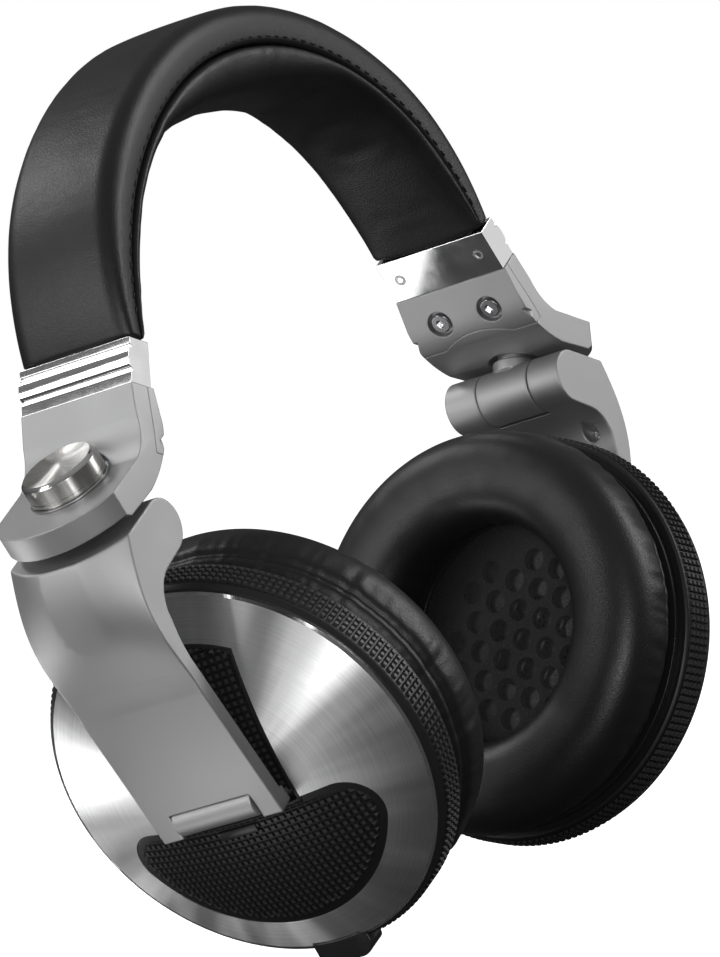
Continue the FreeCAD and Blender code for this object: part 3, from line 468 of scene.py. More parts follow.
def thin_film(name):
    material, tree, shader = shader_of(name, (0.012, 0.012, 0.012), 0.0, 0.35, Coat_Weight=0.2)
    wrinkle = noise_of(tree, object_mm(tree), 0.8, 2.0)
    two_colours(tree, wrinkle, (0.008, 0.008, 0.008), (0.016, 0.016, 0.016), shader)
    relief(tree, shader, wrinkle, 0.05, 0.4)
    return material


def floor_finish(name):
    colour = tuple(bpy.context.scene.headphone_stage.floor)
    material, tree, shader = shader_of(name, colour, 0.0, 0.6)
    cloud = noise_of(tree, object_mm(tree), 0.004, 2.0)
    two_colours(tree, cloud, shade(colour, 0.99), shade(colour, 1.01), shader)
    shader.inputs["Emission Color"].default_value = (1, 1, 1, 1)
    shader.inputs["Emission Strength"].default_value = 1.0
    return material


def dark_card(name):
    material, tree, shader = shader_of(name, (0.07, 0.07, 0.07), 0.0, 0.9)
    cloud = noise_of(tree, object_mm(tree), 0.003, 2.0)
    two_colours(tree, cloud, (0.06, 0.06, 0.06), (0.08, 0.08, 0.08), shader)
    return material


FINISHES = {
    "satin_silver": lambda name: satin_metal(name, tuple(bpy.context.scene.headphone_metal.silver), 0.56),
    "chrome": lambda name: polished_metal(name, (0.86, 0.86, 0.87), 0.05),
    # knob_metal here and brushed_metal below are turned metal: their colour carries a painted highlight in
    # broad bands around the axis, over the metal's own streaks.
    "knob_metal": lambda name: turned_metal(name, (0.66, 0.65, 0.63), 0.36, 0.9),
    "polished_steel": lambda name: polished_metal(name, (0.7, 0.7, 0.7), 0.16),
    "screw_steel": lambda name: polished_metal(name, (0.42, 0.42, 0.43), 0.22),
    "spring_steel": lambda name: satin_metal(name, (0.5, 0.5, 0.5), 0.3),
    "guide_plastic": lambda name: moulded(name, (0.05, 0.05, 0.05), 0.45),
    "brushed_metal": lambda name: turned_metal(name, (0.84, 0.84, 0.845), 0.4, 0.95),
    "texture_black": lambda name: moulded(name, (0.006, 0.006, 0.006), 0.45, 0.25, 0.01),
    "black_plastic": lambda name: moulded(name, (0.012, 0.012, 0.013), 0.33),
    "driver_metal": lambda name: satin_metal(name, (0.45, 0.45, 0.46), 0.35),
    "membrane": thin_film,
    "black_leather": leather,
    "black_mesh": cloth_mesh,
    "black_rubber": lambda name: moulded(name, (0.012, 0.012, 0.012), 0.5, 0.3, 0.015),
    "thread": thread,
    "baffle_grey": lambda name: moulded(name, (0.04, 0.04, 0.04), 0.55),
    # The next two finishes paint light onto the pyramids: painted shade, darker than the black plastic, in
    # the grooves and on the sides, and a painted highlight, paler, on the tops.
    "groove_painted_shade": lambda name: moulded(name, (0.0025, 0.0025, 0.0025), 0.6, 0.25, 0.01),
    "top_painted_highlight": lambda name: moulded(name, (0.035, 0.035, 0.036), 0.42, 0.25, 0.01),
    "knob_chamfer": lambda name: polished_metal(name, (0.88, 0.88, 0.88), 0.07),
    "floor": floor_finish,
    "dark_card": dark_card,
}


def finish(name):
    """A finish, made the first time that it is asked for, beside the plain material of the same slot."""
    own = f"{name}_finish"
    return bpy.data.materials.get(own) or FINISHES[name](own)


def refinish(node, look):
    """Give a working part that stays in view a finished material."""
    data = frame["nodes"][node].data
    if not data.materials:
        data.materials.append(finish(look))
    for index in range(len(data.materials)):
        data.materials[index] = finish(look)


# ---------------------------------------------------------------- curves of the headband
class Half:
    """Half an arch in the middle plane, from the crown down to the right end, made of arcs and lines."""

    def __init__(self, pieces):
        self.pieces = pieces
        self.lengths = [piece[0] for piece in pieces]

    def at(self, share):
        """The (x, z) at a share of the length."""
        left = share * sum(self.lengths)
        for length, spot in self.pieces:
            if left <= length + 1e-9:
                return spot(left / length)
            left -= length
        return self.pieces[-1][1](1)

    def whole(self, share):
        """The (x, z) over the whole arch: 0 at the left end, 1 at the right one."""
        x, z = self.at(abs(share * 2 - 1))
        return (x if share > 0.5 else -x), z


def straight(start, end):
    length = math.dist(start, end)
    return length, lambda share: (
        start[0] + (end[0] - start[0]) * share,
        start[1] + (end[1] - start[1]) * share,
    )


def bend(centre, radius, start, end):
    """An arc between two angles, measured from straight up towards +X."""
    return abs(radius * (end - start)), lambda share: (
        centre[0] + radius * math.sin(start + (end - start) * share),
        centre[1] + radius * math.cos(start + (end - start) * share),
    )


def bend_through(start, via, end):
    """An arc through three points."""
    ax, az = start
    bx, bz = via
    cx, cz = end
    twice = 2 * (ax * (bz - cz) + bx * (cz - az) + cx * (az - bz))
    a2, b2, c2 = ax * ax + az * az, bx * bx + bz * bz, cx * cx + cz * cz
    centre = (
        (a2 * (bz - cz) + b2 * (cz - az) + c2 * (az - bz)) / twice,
        (a2 * (cx - bx) + b2 * (ax - cx) + c2 * (bx - ax)) / twice,
    )
    angles = [math.atan2(point[0] - centre[0], point[1] - centre[1]) for point in (start, end)]
    return bend(centre, math.dist(centre, start), *angles)


def from_slider(x, z):
    """A point of the slider frame, in millimetres of the middle plane."""
    point = SLIDER @ Vector((x * MM, 0, z * MM))
    return point.x / MM, point.z / MM


BAND_WIDTH = 31.3
BAND_TOP = 161.5
ARCH_RADIUS = 88.3
ARCH_TURN = math.radians(43.5)
COLLAR_HEIGHT = 10.8


def arch(drop, end):
    """The crown arc and the tighter arc, tangent to it, down to an end point."""
    radius = ARCH_RADIUS - drop
    centre = BAND_TOP - ARCH_RADIUS
    corner = (radius * math.sin(ARCH_TURN), centre + radius * math.cos(ARCH_TURN))
    across = end[0] - corner[0]
    down = end[1] - corner[1]
    lean = across * math.sin(ARCH_TURN) + down * math.cos(ARCH_TURN)
    side = -(across * across + down * down) / (lean * 2)
    side_centre = (corner[0] - side * math.sin(ARCH_TURN), corner[1] - side * math.cos(ARCH_TURN))
    end_angle = math.atan2(end[0] - side_centre[0], end[1] - side_centre[1])
    return Half([bend((0, centre), radius, 0, ARCH_TURN), bend(side_centre, side, ARCH_TURN, end_angle)])


OUTER = arch(0, from_slider(3.3, COLLAR_HEIGHT))
SEAM = arch(10.0, from_slider(-2.3, COLLAR_HEIGHT))
CROWN_END = (37.0, 136.5)
SHOULDER_END = (60.0, 116.0)
UNDER = Half([
    bend_through((0, 140.5), (18.7, 139.5), CROWN_END),
    bend_through(CROWN_END, (49.6, 128.3), SHOULDER_END),
    straight(SHOULDER_END, from_slider(-3.3, COLLAR_HEIGHT)),
])


def across_band(upper, lower, share, depth, y):
    """A point between two arches: depth 0 lies on the upper one, 1 on the lower one."""
    top = upper.whole(share)
    low = lower.whole(share)
    return Vector((top[0] + (low[0] - top[0]) * depth, y, top[1] + (low[1] - top[1]) * depth))


# ---------------------------------------------------------------- headband
def cover_outline(share):
    """The cover's section: (depth, y) around a rounded top, two side walls and a flat inside."""
    half = BAND_WIDTH / 2
    corner = 4.5
    thickness = 10.0
    if share < 0.12:
        part = share / 0.12
        return 1.0 - part * (1 - corner / thickness), half - 0.5 * (1 - part) ** 3
    if share < 0.25:
        turn = (share - 0.12) / 0.13 * math.pi / 2
        return (corner - corner * math.sin(turn)) / thickness, half - corner + corner * math.cos(turn)
    if share < 0.5:
        part = (share - 0.25) / 0.25
        return -0.03 * math.sin(part * math.pi / 2), (half - corner) * (1 - part)
    depth, y = cover_outline(1 - share)
    return depth, -y


INSIDE_SHARE = 0.12


def headband_cover():
    """The outer leather; its inside, hidden by the cushion, is the last share of the way around."""
    def spot(share, around):
        wrapped = around * (1 + INSIDE_SHARE)
        if wrapped > 1:
            part = (wrapped - 1) / INSIDE_SHARE
            depth, y = 1.0, -(BAND_WIDTH / 2 - 0.5) * (1 - 2 * part)
        else:
            depth, y = cover_outline(wrapped)
        point = across_band(OUTER, SEAM, share, depth, y)
        dent = 0.12 * wander(share * 26, y * 0.08) + 0.06 * wander(share * 90, y * 0.2, 4)
        return point + Vector((0, 0, dent if depth < 0.4 else 0))

    bm = grid_shape(220, 60, spot)
    fill_ends(bm)
    cover = finish_mesh(bm, "headband_leather")
    smooth_out(cover)
    dress(cover, "headband", "black_leather", "headband_cover")


def cushion_outline(around):
    """The cushion's section: a full, rounded underside and a flat top against the cover."""
    half = BAND_WIDTH / 2 + 0.1
    if around <= 0.8:
        turn = math.pi * around / 0.8
        power = 2 / 3.2
        y = half * math.copysign(abs(math.cos(turn)) ** power, math.cos(turn))
        return 0.02 + 0.98 * abs(math.sin(turn)) ** power, y
    part = (around - 0.8) / 0.2
    return 0.02, -half + 2 * half * part


SWELL_FRAMES = 20


def swell(piece, pinned, cap, pressure=4.0):
    """Let a closed mesh swell like a filled cushion, with some of its points held."""
    rest = [vert.co.copy() for vert in piece.data.vertices]
    group = piece.vertex_groups.new(name="held")
    for vert in piece.data.vertices:
        group.add([vert.index], pinned(vert.co), "REPLACE")
    cloth = piece.modifiers.new("Swell", "CLOTH")
    settings = cloth.settings
    settings.quality = 6
    settings.mass = 0.15
    settings.tension_stiffness = 12
    settings.compression_stiffness = 12
    settings.bending_stiffness = 0.6
    settings.use_pressure = True
    settings.uniform_pressure_force = pressure
    settings.vertex_group_mass = group.name
    settings.effector_weights.gravity = 0
    scene = bpy.context.scene
    cloth.point_cache.frame_start = 1
    cloth.point_cache.frame_end = SWELL_FRAMES
    for step in range(1, SWELL_FRAMES + 1):
        scene.frame_set(step)
    swollen = piece.evaluated_get(bpy.context.evaluated_depsgraph_get()).to_mesh()
    moved = [vert.co.copy() for vert in swollen.vertices]
    piece.evaluated_get(bpy.context.evaluated_depsgraph_get()).to_mesh_clear()
    piece.modifiers.remove(cloth)
    for vert, start, end in zip(piece.data.vertices, rest, moved):
        step = end - start
        if step.length > cap:
            step = step.normalized() * cap
        vert.co = start + step
    piece.vertex_groups.remove(group)
    scene.frame_set(1)


def headband_cushion():
    def spot(share, around):
        depth, y = cushion_outline(around)
        return across_band(SEAM, UNDER, share, depth, y)

    bm = grid_shape(110, 40, spot)
    fill_ends(bm)
    cushion = finish_mesh(bm, "headband_cushion_leather")
    seam_points = [Vector(SEAM.whole(index / 120)) * MM for index in range(121)]

    def seam_gap(co):
        """How far a point lies from the seam arch, seen from the side."""
        return min((Vector((co.x, co.z)) - point).length for point in seam_points)

    def held(co):
        near_end = abs(co.x) > 69 * MM
        return 1.0 if near_end or seam_gap(co) < 1.6 * MM else 0.0

    swell(cushion, held, bpy.context.scene.headphone_band.fullness)
    for vert in cushion.data.vertices:
        gap = seam_gap(vert.co) / MM
        if gap < 9 and abs(vert.co.y) > 11 * MM:
            angle = math.atan2(vert.co.x, vert.co.z - 70 * MM)
            pucker = wander(angle * 17, math.copysign(3, vert.co.y))
            pucker += 0.6 * wander(angle * 41, vert.co.y * 40)
            fade = math.exp(-((gap - 3.0) / 3.0) ** 2)
            vert.co.y += math.copysign(0.42 * pucker * fade * MM, vert.co.y)
    smooth_out(cushion)
    dress(cushion, "headband", "black_leather", "headband_cushion")


STITCH_HALF = (0.95, 0.2, 0.24)


def seam_stitches():
    """A row of stitches beside the seam, along both side walls of the headband."""
    band = bpy.context.scene.headphone_band
    length = 2 * sum(SEAM.lengths)
    count = int(length * MM / band.stitch_pitch)
    bm = bmesh.new()
    for y in (-1, 1):
        for index in range(2, count - 1):
            share = index / count
            point = across_band(OUTER, SEAM, share, 0.84, y * (BAND_WIDTH / 2 - 0.08))
            ahead = across_band(OUTER, SEAM, share + 0.002, 0.84, 0)
            behind = across_band(OUTER, SEAM, share - 0.002, 0.84, 0)
            run = ahead - behind
            turn = Matrix.Rotation(-math.atan2(run.z, run.x), 4, "Y")
            size = Matrix.Diagonal((*STITCH_HALF, 1))
            place = Matrix.Translation(point) @ turn @ size
            bmesh.ops.create_uvsphere(bm, u_segments=8, v_segments=6, radius=1, matrix=place)
    stitches = finish_mesh(bm, "headband_stitches")
    stitches.data.materials.append(finish("thread"))
    dress(stitches, "headband", "black_leather")


# ---------------------------------------------------------------- screws
def socket_screw(bm, radius, height, socket, place):
    """A screw head with a hexagon socket, standing on its own XY plane."""
    sides = 24
    head = bmesh.new()
    bmesh.ops.create_cone(
        head, cap_ends=True, segments=sides, radius1=radius, radius2=radius, depth=height,
        matrix=Matrix.Translation((0, 0, height / 2)),
    )
    rims = [edge for edge in head.edges if all(vert.co.z > height - 0.01 for vert in edge.verts)]
    bmesh.ops.bevel(
        head, geom=rims, offset=radius * 0.14, segments=3, profile=0.5, affect="EDGES", material=-1,
    )
    head.faces.ensure_lookup_table()
    top = max(head.faces, key=lambda face: (len(face.verts), face.calc_center_median().z))
    bmesh.ops.inset_region(head, faces=[top], thickness=radius * 0.86 - socket, use_even_offset=True)
    for vert in top.verts:
        angle = math.atan2(vert.co.y, vert.co.x)
        reach = socket * math.cos(math.pi / 6) / math.cos((angle % (math.pi / 3)) - math.pi / 6)
        vert.co.x = reach * math.cos(angle)
        vert.co.y = reach * math.sin(angle)
    wall = bmesh.ops.extrude_discrete_faces(head, faces=[top])["faces"]
    bmesh.ops.translate(head, verts=wall[0].verts, vec=(0, 0, -height * 0.65))
    bmesh.ops.bridge_loops(head, edges=list(edge for edge in head.edges if edge.is_boundary))
    bmesh.ops.recalc_face_normals(head, faces=head.faces)
    head.transform(place)
    add_shape(bm, head)


def facing(direction, at):
    """A place whose own Z points along a direction."""
    return Matrix.Translation(at) @ Vector(direction).to_track_quat("Z", "Y").to_matrix().to_4x4()


# ---------------------------------------------------------------- stage
def make_studio_air():
    """A white backdrop for the camera, and a dark room, paler overhead, for everything that shines."""
    world = bpy.data.worlds.new("studio")
    bpy.context.scene.world = world
    world.use_nodes = True
    tree = world.node_tree
    seen = tree.nodes["Background"]
    seen.inputs["Color"].default_value = (1, 1, 1, 1)
    seen.inputs["Strength"].default_value = 1.0
    room = tree.nodes.new("ShaderNodeBackground")
    direction = tree.nodes.new("ShaderNodeTexCoord")
    parts = tree.nodes.new("ShaderNodeSeparateXYZ")
    tree.links.new(direction.outputs["Generated"], parts.inputs["Vector"])
    tree.links.new(ranged(tree, parts.outputs["Z"], 0.0, 0.9, 0.02, 0.3), room.inputs["Strength"])
    paths = tree.nodes.new("ShaderNodeLightPath")
    choice = tree.nodes.new("ShaderNodeMixShader")
    tree.links.new(paths.outputs["Is Camera Ray"], choice.inputs[0])
    tree.links.new(room.outputs[0], choice.inputs[1])
    tree.links.new(seen.outputs[0], choice.inputs[2])
    tree.links.new(choice.outputs[0], tree.nodes["World Output"].inputs["Surface"])
    bpy.context.scene.view_settings.view_transform = "Standard"


CAMERA_RIGHT = Vector((0.51936, -0.79543, -0.31234))
CAMERA_UP = Vector((0.19424, -0.24605, 0.94959))
CAMERA_PLACE = Vector((-1.48245, -0.99608, 0.09669))


def make_stage():
    settings = bpy.context.scene.headphone_stage
    low, high = cad_box
    floor_z = low[2]
    bm = bmesh.new()
    bmesh.ops.create_circle(bm, cap_ends=True, segments=96, radius=40.0)
    bmesh.ops.translate(bm, verts=bm.verts, vec=(0, 0, floor_z))
    mesh = bpy.data.meshes.new("floor")
    bm.to_mesh(mesh)
    bm.free()
    floor = bpy.data.objects.new("floor", mesh)
    bpy.context.scene.collection.objects.link(floor)
    floor.data.materials.append(finish("floor"))
    # the pale floor is for the camera: the object stands in its own pool of light
    floor.visible_diffuse = False
    floor.visible_glossy = False
    table = bpy.data.objects.new("dark_table", mesh.copy())
    table.data.materials.clear()
    table.data.materials.append(finish("dark_card"))
    table.data.transform(Matrix.Translation((0, 0, 0.0005)))
    bpy.context.scene.collection.objects.link(table)
    # only reflections see the dark card over the pale floor, as in a product studio
    table.visible_camera = False
    table.visible_diffuse = False
    table.visible_shadow = False
    table.visible_transmission = False

    make_studio_air()

    camera_data = bpy.data.cameras.new("camera")
    camera_data.lens = settings.lens
    camera_data.sensor_width = 36.0
    camera_data.sensor_fit = "AUTO"
    camera_data.clip_end = 60
    camera = bpy.data.objects.new("camera", camera_data)
    back = CAMERA_RIGHT.cross(CAMERA_UP)
    turn = Matrix((CAMERA_RIGHT, CAMERA_UP, back)).transposed().to_4x4()
    camera.matrix_world = Matrix.Translation(CAMERA_PLACE) @ turn
    bpy.context.scene.collection.objects.link(camera)
    bpy.context.scene.camera = camera

    middle = (Vector(low) + Vector(high)) / 2

    def soft_light(name, offset, size, strength, height_size=None):
        data = bpy.data.lights.new(name, "AREA")
        data.shape = "RECTANGLE"
        data.size = size
        data.size_y = height_size or size
        data.energy = strength
        light = bpy.data.objects.new(name, data)
        light.matrix_world = facing(Vector(offset), middle + Vector(offset))
        bpy.context.scene.collection.objects.link(light)
        light.visible_camera = False
        return light

    def floor_patch(name, x, y, size, strength):
        """A bright card lying on the table, which only shining things show."""
        patch = soft_light(name, (x, y, 0), size, strength)
        patch.matrix_world = Matrix.Translation((x, y, floor_z + 0.002)) @ Matrix.Rotation(math.pi, 4, "X")
        patch.visible_diffuse = False

    key = settings.key_light
    soft_light("left_softbox", (-1.25, 0.75, 0.6), 0.45, key * 0.62, 0.8)
    soft_light("right_softbox", (0.9, -1.0, 0.5), 0.35, key * 1.0, 1.0)
    soft_light("camera_softbox", (-1.3, -0.45, 0.05), 0.4, key * 0.2, 0.4)
    soft_light("left_strip", (-1.4, 0.35, 0.15), 0.3, key * 0.3, 0.8)
    soft_light("top_back_softbox", (-0.1, 0.9, 1.2), 0.6, key * 0.5, 0.3)
    soft_light("front_low_strip", (-1.1, -0.85, -0.03), 0.12, key * 0.7, 0.3)
    end_card = soft_light("end_card", (1.1, -0.75, -0.02), 0.5, key * 0.038, 0.3)
    end_card.visible_diffuse = False
    floor_patch("left_patch", -0.12, 0.215, 0.1, key * 0.03)
    floor_patch("collar_patch", -0.056, 0.149, 0.044, key * 0.0012)
    floor_patch("near_patch", -0.125, 0.02, 0.045, key * 0.0014)


# ---------------------------------------------------------------- collars, sliders and swivels
def extruded_outline(points, width):
    """A flat outline of (x, z) points, as deep as the width across the middle plane."""
    bm = bmesh.new()
    face = bm.faces.new([bm.verts.new((x, -width / 2, z)) for x, z in points])
    made = bmesh.ops.extrude_face_region(bm, geom=[face])["geom"]
    far = [item for item in made if isinstance(item, bmesh.types.BMVert)]
    bmesh.ops.translate(bm, verts=far, vec=(0, width, 0))
    bmesh.ops.recalc_face_normals(bm, faces=bm.faces)
    return bm


def collar_outline():
    """The collar's section, from the foot of its inner face round over the stepped outer face."""
    half = 3.5
    points = [(-half, 0), (half, 0), (half, 2.6), (half - 0.6, 2.95), (half - 0.6, 3.4)]
    for step in range(9):
        turn = math.pi * (step / 8 - 0.5)
        points.append((half - 0.1 + 0.75 * math.cos(turn), 5.9 + 2.3 * math.sin(turn)))
    points += [(half - 0.7, 8.45), (half - 0.7, 8.9), (half - 0.2, 9.1)]
    points += [(half - 0.2, COLLAR_HEIGHT), (-half, COLLAR_HEIGHT)]
    return points


COLLAR_INSIDE = -3.5
COLLAR_SCREW_SPREAD = 11.6


def collar_pieces():
    for side in SIDES:
        bar = extruded_outline(collar_outline(), BAND_WIDTH)
        collar = finish_mesh(bar, f"{side}_chrome_collar", side, SLIDER)
        round_edges(collar, 0.16 * MM, degrees=35)
        dress(collar, "headband", "chrome", f"{side}_collar")
    bm = bmesh.new()
    for side in SIDES:
        for y in (-COLLAR_SCREW_SPREAD, COLLAR_SCREW_SPREAD):
            screw = bmesh.new()
            foot = (COLLAR_INSIDE + 1.15, y, COLLAR_HEIGHT / 2)
            socket_screw(screw, 1.5, 1.2, 0.75, facing((-1, 0, 0), foot))
            screw.transform(in_mm(side, SLIDER))
            add_shape(bm, screw)
    dress(finish_mesh(bm, "collar_socket_screws", smooth=False), "headband", "screw_steel", "collar_screws")


def in_mm(side, place):
    """A local frame as a transform between millimetre shapes."""
    return Matrix.Scale(1 / MM, 4) @ on_side(side, place) @ Matrix.Scale(MM, 4)


COVER_SCREW_SPREAD = 7.25
COVER_SCREW_HEIGHT = -8.2


def slider_pieces():
    for side in SIDES:
        body = f"{side}_slider"
        metal_copy(f"{side}_housing", body, "satin_silver", 0.1 * MM)
        metal_copy(f"{side}_housing_cover", body, "satin_silver", 0.06 * MM)
        bm = bmesh.new()
        for y in (-COVER_SCREW_SPREAD, COVER_SCREW_SPREAD):
            foot = (COLLAR_INSIDE, y, COVER_SCREW_HEIGHT)
            socket_screw(bm, 2.5, 1.4, 1.3, facing((-1, 0, 0), foot))
        screws = finish_mesh(bm, f"{side}_housing_socket_screws", side, SLIDER, smooth=False)
        dress(screws, body, "screw_steel", f"{side}_housing_screws")
        refinish(f"{side}_slide_blade", "spring_steel")


KNOB_RADIUS = 9.4
KNOB_LOW = 16.1
KNOB_TOP = 21.8


def mark_turning(bm, reach=50.0):
    """UV coordinates for turned metal: the distance across the marks, then the share of a turn."""
    layer = bm.loops.layers.uv.new("turning")
    for face in bm.faces:
        first = None
        for loop in face.loops:
            spot = loop.vert.co
            turn = math.atan2(spot.y, spot.x) / math.tau
            if first is None:
                first = turn
            turn -= round(turn - first)
            loop[layer].uv = ((math.hypot(spot.x, spot.y) - spot.z) / reach, turn)


def knob_piece(side):
    """Turned cap: a faintly dished top, a polished chamfer and a satin side with a fine groove."""
    r = KNOB_RADIUS
    profile = [
        (4.2, KNOB_LOW), (r - 0.35, KNOB_LOW), (r - 0.08, KNOB_LOW + 0.12), (r, KNOB_LOW + 0.35),
        (r, KNOB_LOW + 1.0), (r - 0.22, KNOB_LOW + 1.1), (r - 0.22, KNOB_LOW + 1.3), (r, KNOB_LOW + 1.4),
        (r, KNOB_TOP - 1.0), (r - 0.06, KNOB_TOP - 0.86), (r - 0.84, KNOB_TOP - 0.08), (r - 0.98, KNOB_TOP),
        (r - 1.3, KNOB_TOP - 0.04), (6.2, KNOB_TOP - 0.16), (3.2, KNOB_TOP - 0.26), (0.0, KNOB_TOP - 0.3),
        (0.0, KNOB_TOP - 1.0), (4.2, KNOB_TOP - 1.0),
    ]
    bm = turned_shape(profile, 128)
    mark_turning(bm, 12.0)
    knob = finish_mesh(bm, f"{side}_turned_knob", side, SWIVEL)
    knob.data.materials.append(finish("knob_metal"))
    knob.data.materials.append(finish("knob_chamfer"))
    into_local = on_side(side, SWIVEL).inverted()
    for polygon in knob.data.polygons:
        spot = into_local @ polygon.center / MM
        if math.hypot(spot.x, spot.y) > r - 0.9 and spot.z > KNOB_TOP - 0.9:
            polygon.material_index = 1
    flat_edges(knob, 22)
    dress(knob, f"{side}_swivel", "knob_metal", f"{side}_knob")


def flat_edges(piece, degrees):
    """Keep the shading crisp across the sharper edges."""
    mesh = piece.data
    bm = bmesh.new()
    bm.from_mesh(mesh)
    for edge in bm.edges:
        sharp = edge.is_manifold and edge.calc_face_angle(0) > math.radians(degrees)
        edge.smooth = not sharp
    bm.to_mesh(mesh)
    bm.free()


def swivel_pieces():
    for side in SIDES:
        body = f"{side}_swivel"
        knob_piece(side)
        metal_copy(f"{side}_swivel_yoke", body, "satin_silver", 0.3 * MM)
        profile = [
            (4.0, 15.55), (9.7, 15.55), (9.9, 15.7), (9.9, 15.95), (9.7, 16.1), (4.0, 16.1),
        ]
        washer = finish_mesh(turned_shape(profile, 96), f"{side}_thin_washer", side, SWIVEL)
        flat_edges(washer, 25)
        dress(washer, body, "polished_steel", f"{side}_swivel_washer")


ARM_SCREW_SPOT = (-2.2, -11.2, 52.2)
ARM_SCREW_HEIGHT = 1.0


def arm_pieces():
    top, across, along = ARM_SCREW_SPOT
    for side in SIDES:
        body = f"{side}_arm"
        metal_copy(f"{side}_arm", body, "satin_silver", 0.4 * MM, segments=3)
        metal_copy(f"{side}_fold_pin", body, "polished_steel", 0.2 * MM)
        metal_copy(f"{side}_tilt_pin", body, "polished_steel", 0.15 * MM)
        bm = bmesh.new()
        foot = (top + ARM_SCREW_HEIGHT, across, along)
        socket_screw(bm, 1.6, ARM_SCREW_HEIGHT, 0.8, facing((-1, 0, 0), foot))
        screw = finish_mesh(bm, f"{side}_arm_socket_screw", side, ARM, smooth=False)
        dress(screw, body, "screw_steel", f"{side}_arm_screw")


# ---------------------------------------------------------------- cups
DOME_APEX = 23.0
DOME_EDGE = 46.2
DOME_RISE = 11.9
DOME_RADIUS = (DOME_EDGE ** 2 + DOME_RISE ** 2) / (2 * DOME_RISE)
DOME_CENTRE = DOME_APEX - DOME_RADIUS
RING_RADIUS = 48.0
RING_HEIGHT = 8.6
INLET_HALF = 8.8


def dome_height(x, y, drop=0.0):
    """Height of the surface a drop below the dome."""
    return DOME_CENTRE + math.sqrt((DOME_RADIUS - drop) ** 2 - x * x - y * y)


def dome_piece(side):
    """The brushed back, with exact shading on its sphere."""
    local = on_side(side, CUP)
    bm = merged_copy(f"{side}_dome", local)
    centre = Vector((0, 0, DOME_CENTRE))

    def on_dome(vert):
        return abs((vert.co - centre).length - DOME_RADIUS) < 0.03

    for longest in (16, 8, 4, 2.4):
        long_edges = [
            edge for edge in bm.edges
            if edge.calc_length() > longest and all(on_dome(vert) for vert in edge.verts)
        ]
        made = bmesh.ops.subdivide_edges(bm, edges=long_edges, cuts=1)["geom_inner"]
        for item in made:
            if isinstance(item, bmesh.types.BMVert):
                item.co = centre + (item.co - centre).normalized() * DOME_RADIUS
        bmesh.ops.triangulate(bm, faces=bm.faces)
    mark_turning(bm)
    piece = finish_mesh(bm, f"{side}_brushed_dome", side, CUP)
    centre = local @ Vector((0, 0, DOME_CENTRE * MM))
    normals = []
    mesh = piece.data
    for polygon in mesh.polygons:
        spots = [mesh.vertices[index].co - centre for index in polygon.vertices]
        on_sphere = all(abs(spot.length / MM - DOME_RADIUS) < 0.03 for spot in spots)
        for spot in spots:
            normals.append(spot.normalized() if on_sphere else polygon.normal)
    mesh.normals_split_custom_set(normals)
    mesh.materials.append(finish("brushed_metal"))
    mesh.materials.append(finish("chrome"))
    into_local = local.inverted()
    for polygon in mesh.polygons:
        spot = into_local @ polygon.center / MM
        if math.hypot(spot.x, spot.y) > DOME_EDGE - 0.05:
            polygon.material_index = 1
    dress(piece, f"{side}_cup", "brushed_metal", f"{side}_dome")


def pyramid_field(outline, drop, pitch, height):
    """Small square pyramids inside a convex outline, laid on the surface a drop below the dome."""
    xs = [point[0] for point in outline]
    ys = [point[1] for point in outline]
    columns = math.ceil((max(xs) - min(xs)) / pitch) + 1
    rows = math.ceil((max(ys) - min(ys)) / pitch) + 1
    bm = bmesh.new()
    bmesh.ops.create_grid(bm, x_segments=columns, y_segments=rows, size=0.5)
    bmesh.ops.scale(bm, verts=bm.verts, vec=(columns * pitch, rows * pitch, 1))
    middle = Vector(((max(xs) + min(xs)) / 2, (max(ys) + min(ys)) / 2, 0))
    bmesh.ops.translate(bm, verts=bm.verts, vec=middle)
    for index, point in enumerate(outline):
        before = outline[index - 1]
        run = Vector((point[0] - before[0], point[1] - before[1], 0))
        if run.length < 0.01:
            continue
        outward = Vector((run.y, -run.x, 0)).normalized()
        everything = list(bm.verts) + list(bm.edges) + list(bm.faces)
        bmesh.ops.bisect_plane(
            bm, geom=everything, dist=0.0001, plane_co=(*point, 0), plane_no=outward, clear_outer=True,
        )
    square = pitch * pitch
    slivers = [face for face in bm.faces if face.calc_area() < 0.22 * square]
    bmesh.ops.delete(bm, geom=slivers, context="FACES")
    whole = [face for face in bm.faces if face.calc_area() > 0.97 * square]
    partial = [face for face in bm.faces if face.calc_area() <= 0.97 * square]
    bmesh.ops.inset_individual(bm, faces=whole, thickness=pitch * 0.1, depth=0, use_even_offset=True)
    bmesh.ops.inset_individual(bm, faces=whole, thickness=pitch * 0.15, depth=height, use_even_offset=True)
    # The whole tops take the second slot, the paler black of the painted highlight; the rest keeps the
    # painted shade of the grooves.
    for face in whole:
        face.material_index = 1
    bmesh.ops.poke(bm, faces=partial, offset=height * 0.8)
    for vert in bm.verts:
        vert.co.z += dome_height(vert.co.x, vert.co.y, drop) - 0.03
    return bm


def bean_outline(inset):
    """The lower inlay's outline, counterclockwise: an arc of the cup, rounded corners and a chord."""
    radius = 37.0 - inset
    chord = 4.8 + inset
    corner = 8.5 - inset
    x = chord + corner
    y = math.sqrt((radius - corner) ** 2 - x * x)
    lean = math.atan2(y, x)
    points = []
    for step in range(13):
        turn = -math.pi + (-lean + math.pi) * step / 12
        points.append((x + corner * math.cos(turn), -y + corner * math.sin(turn)))
    for step in range(1, 40):
        turn = -lean + 2 * lean * step / 40
        points.append((radius * math.cos(turn), radius * math.sin(turn)))
    for step in range(13):
        turn = lean + (math.pi - lean) * step / 12
        points.append((x + corner * math.cos(turn), y + corner * math.sin(turn)))
    return points


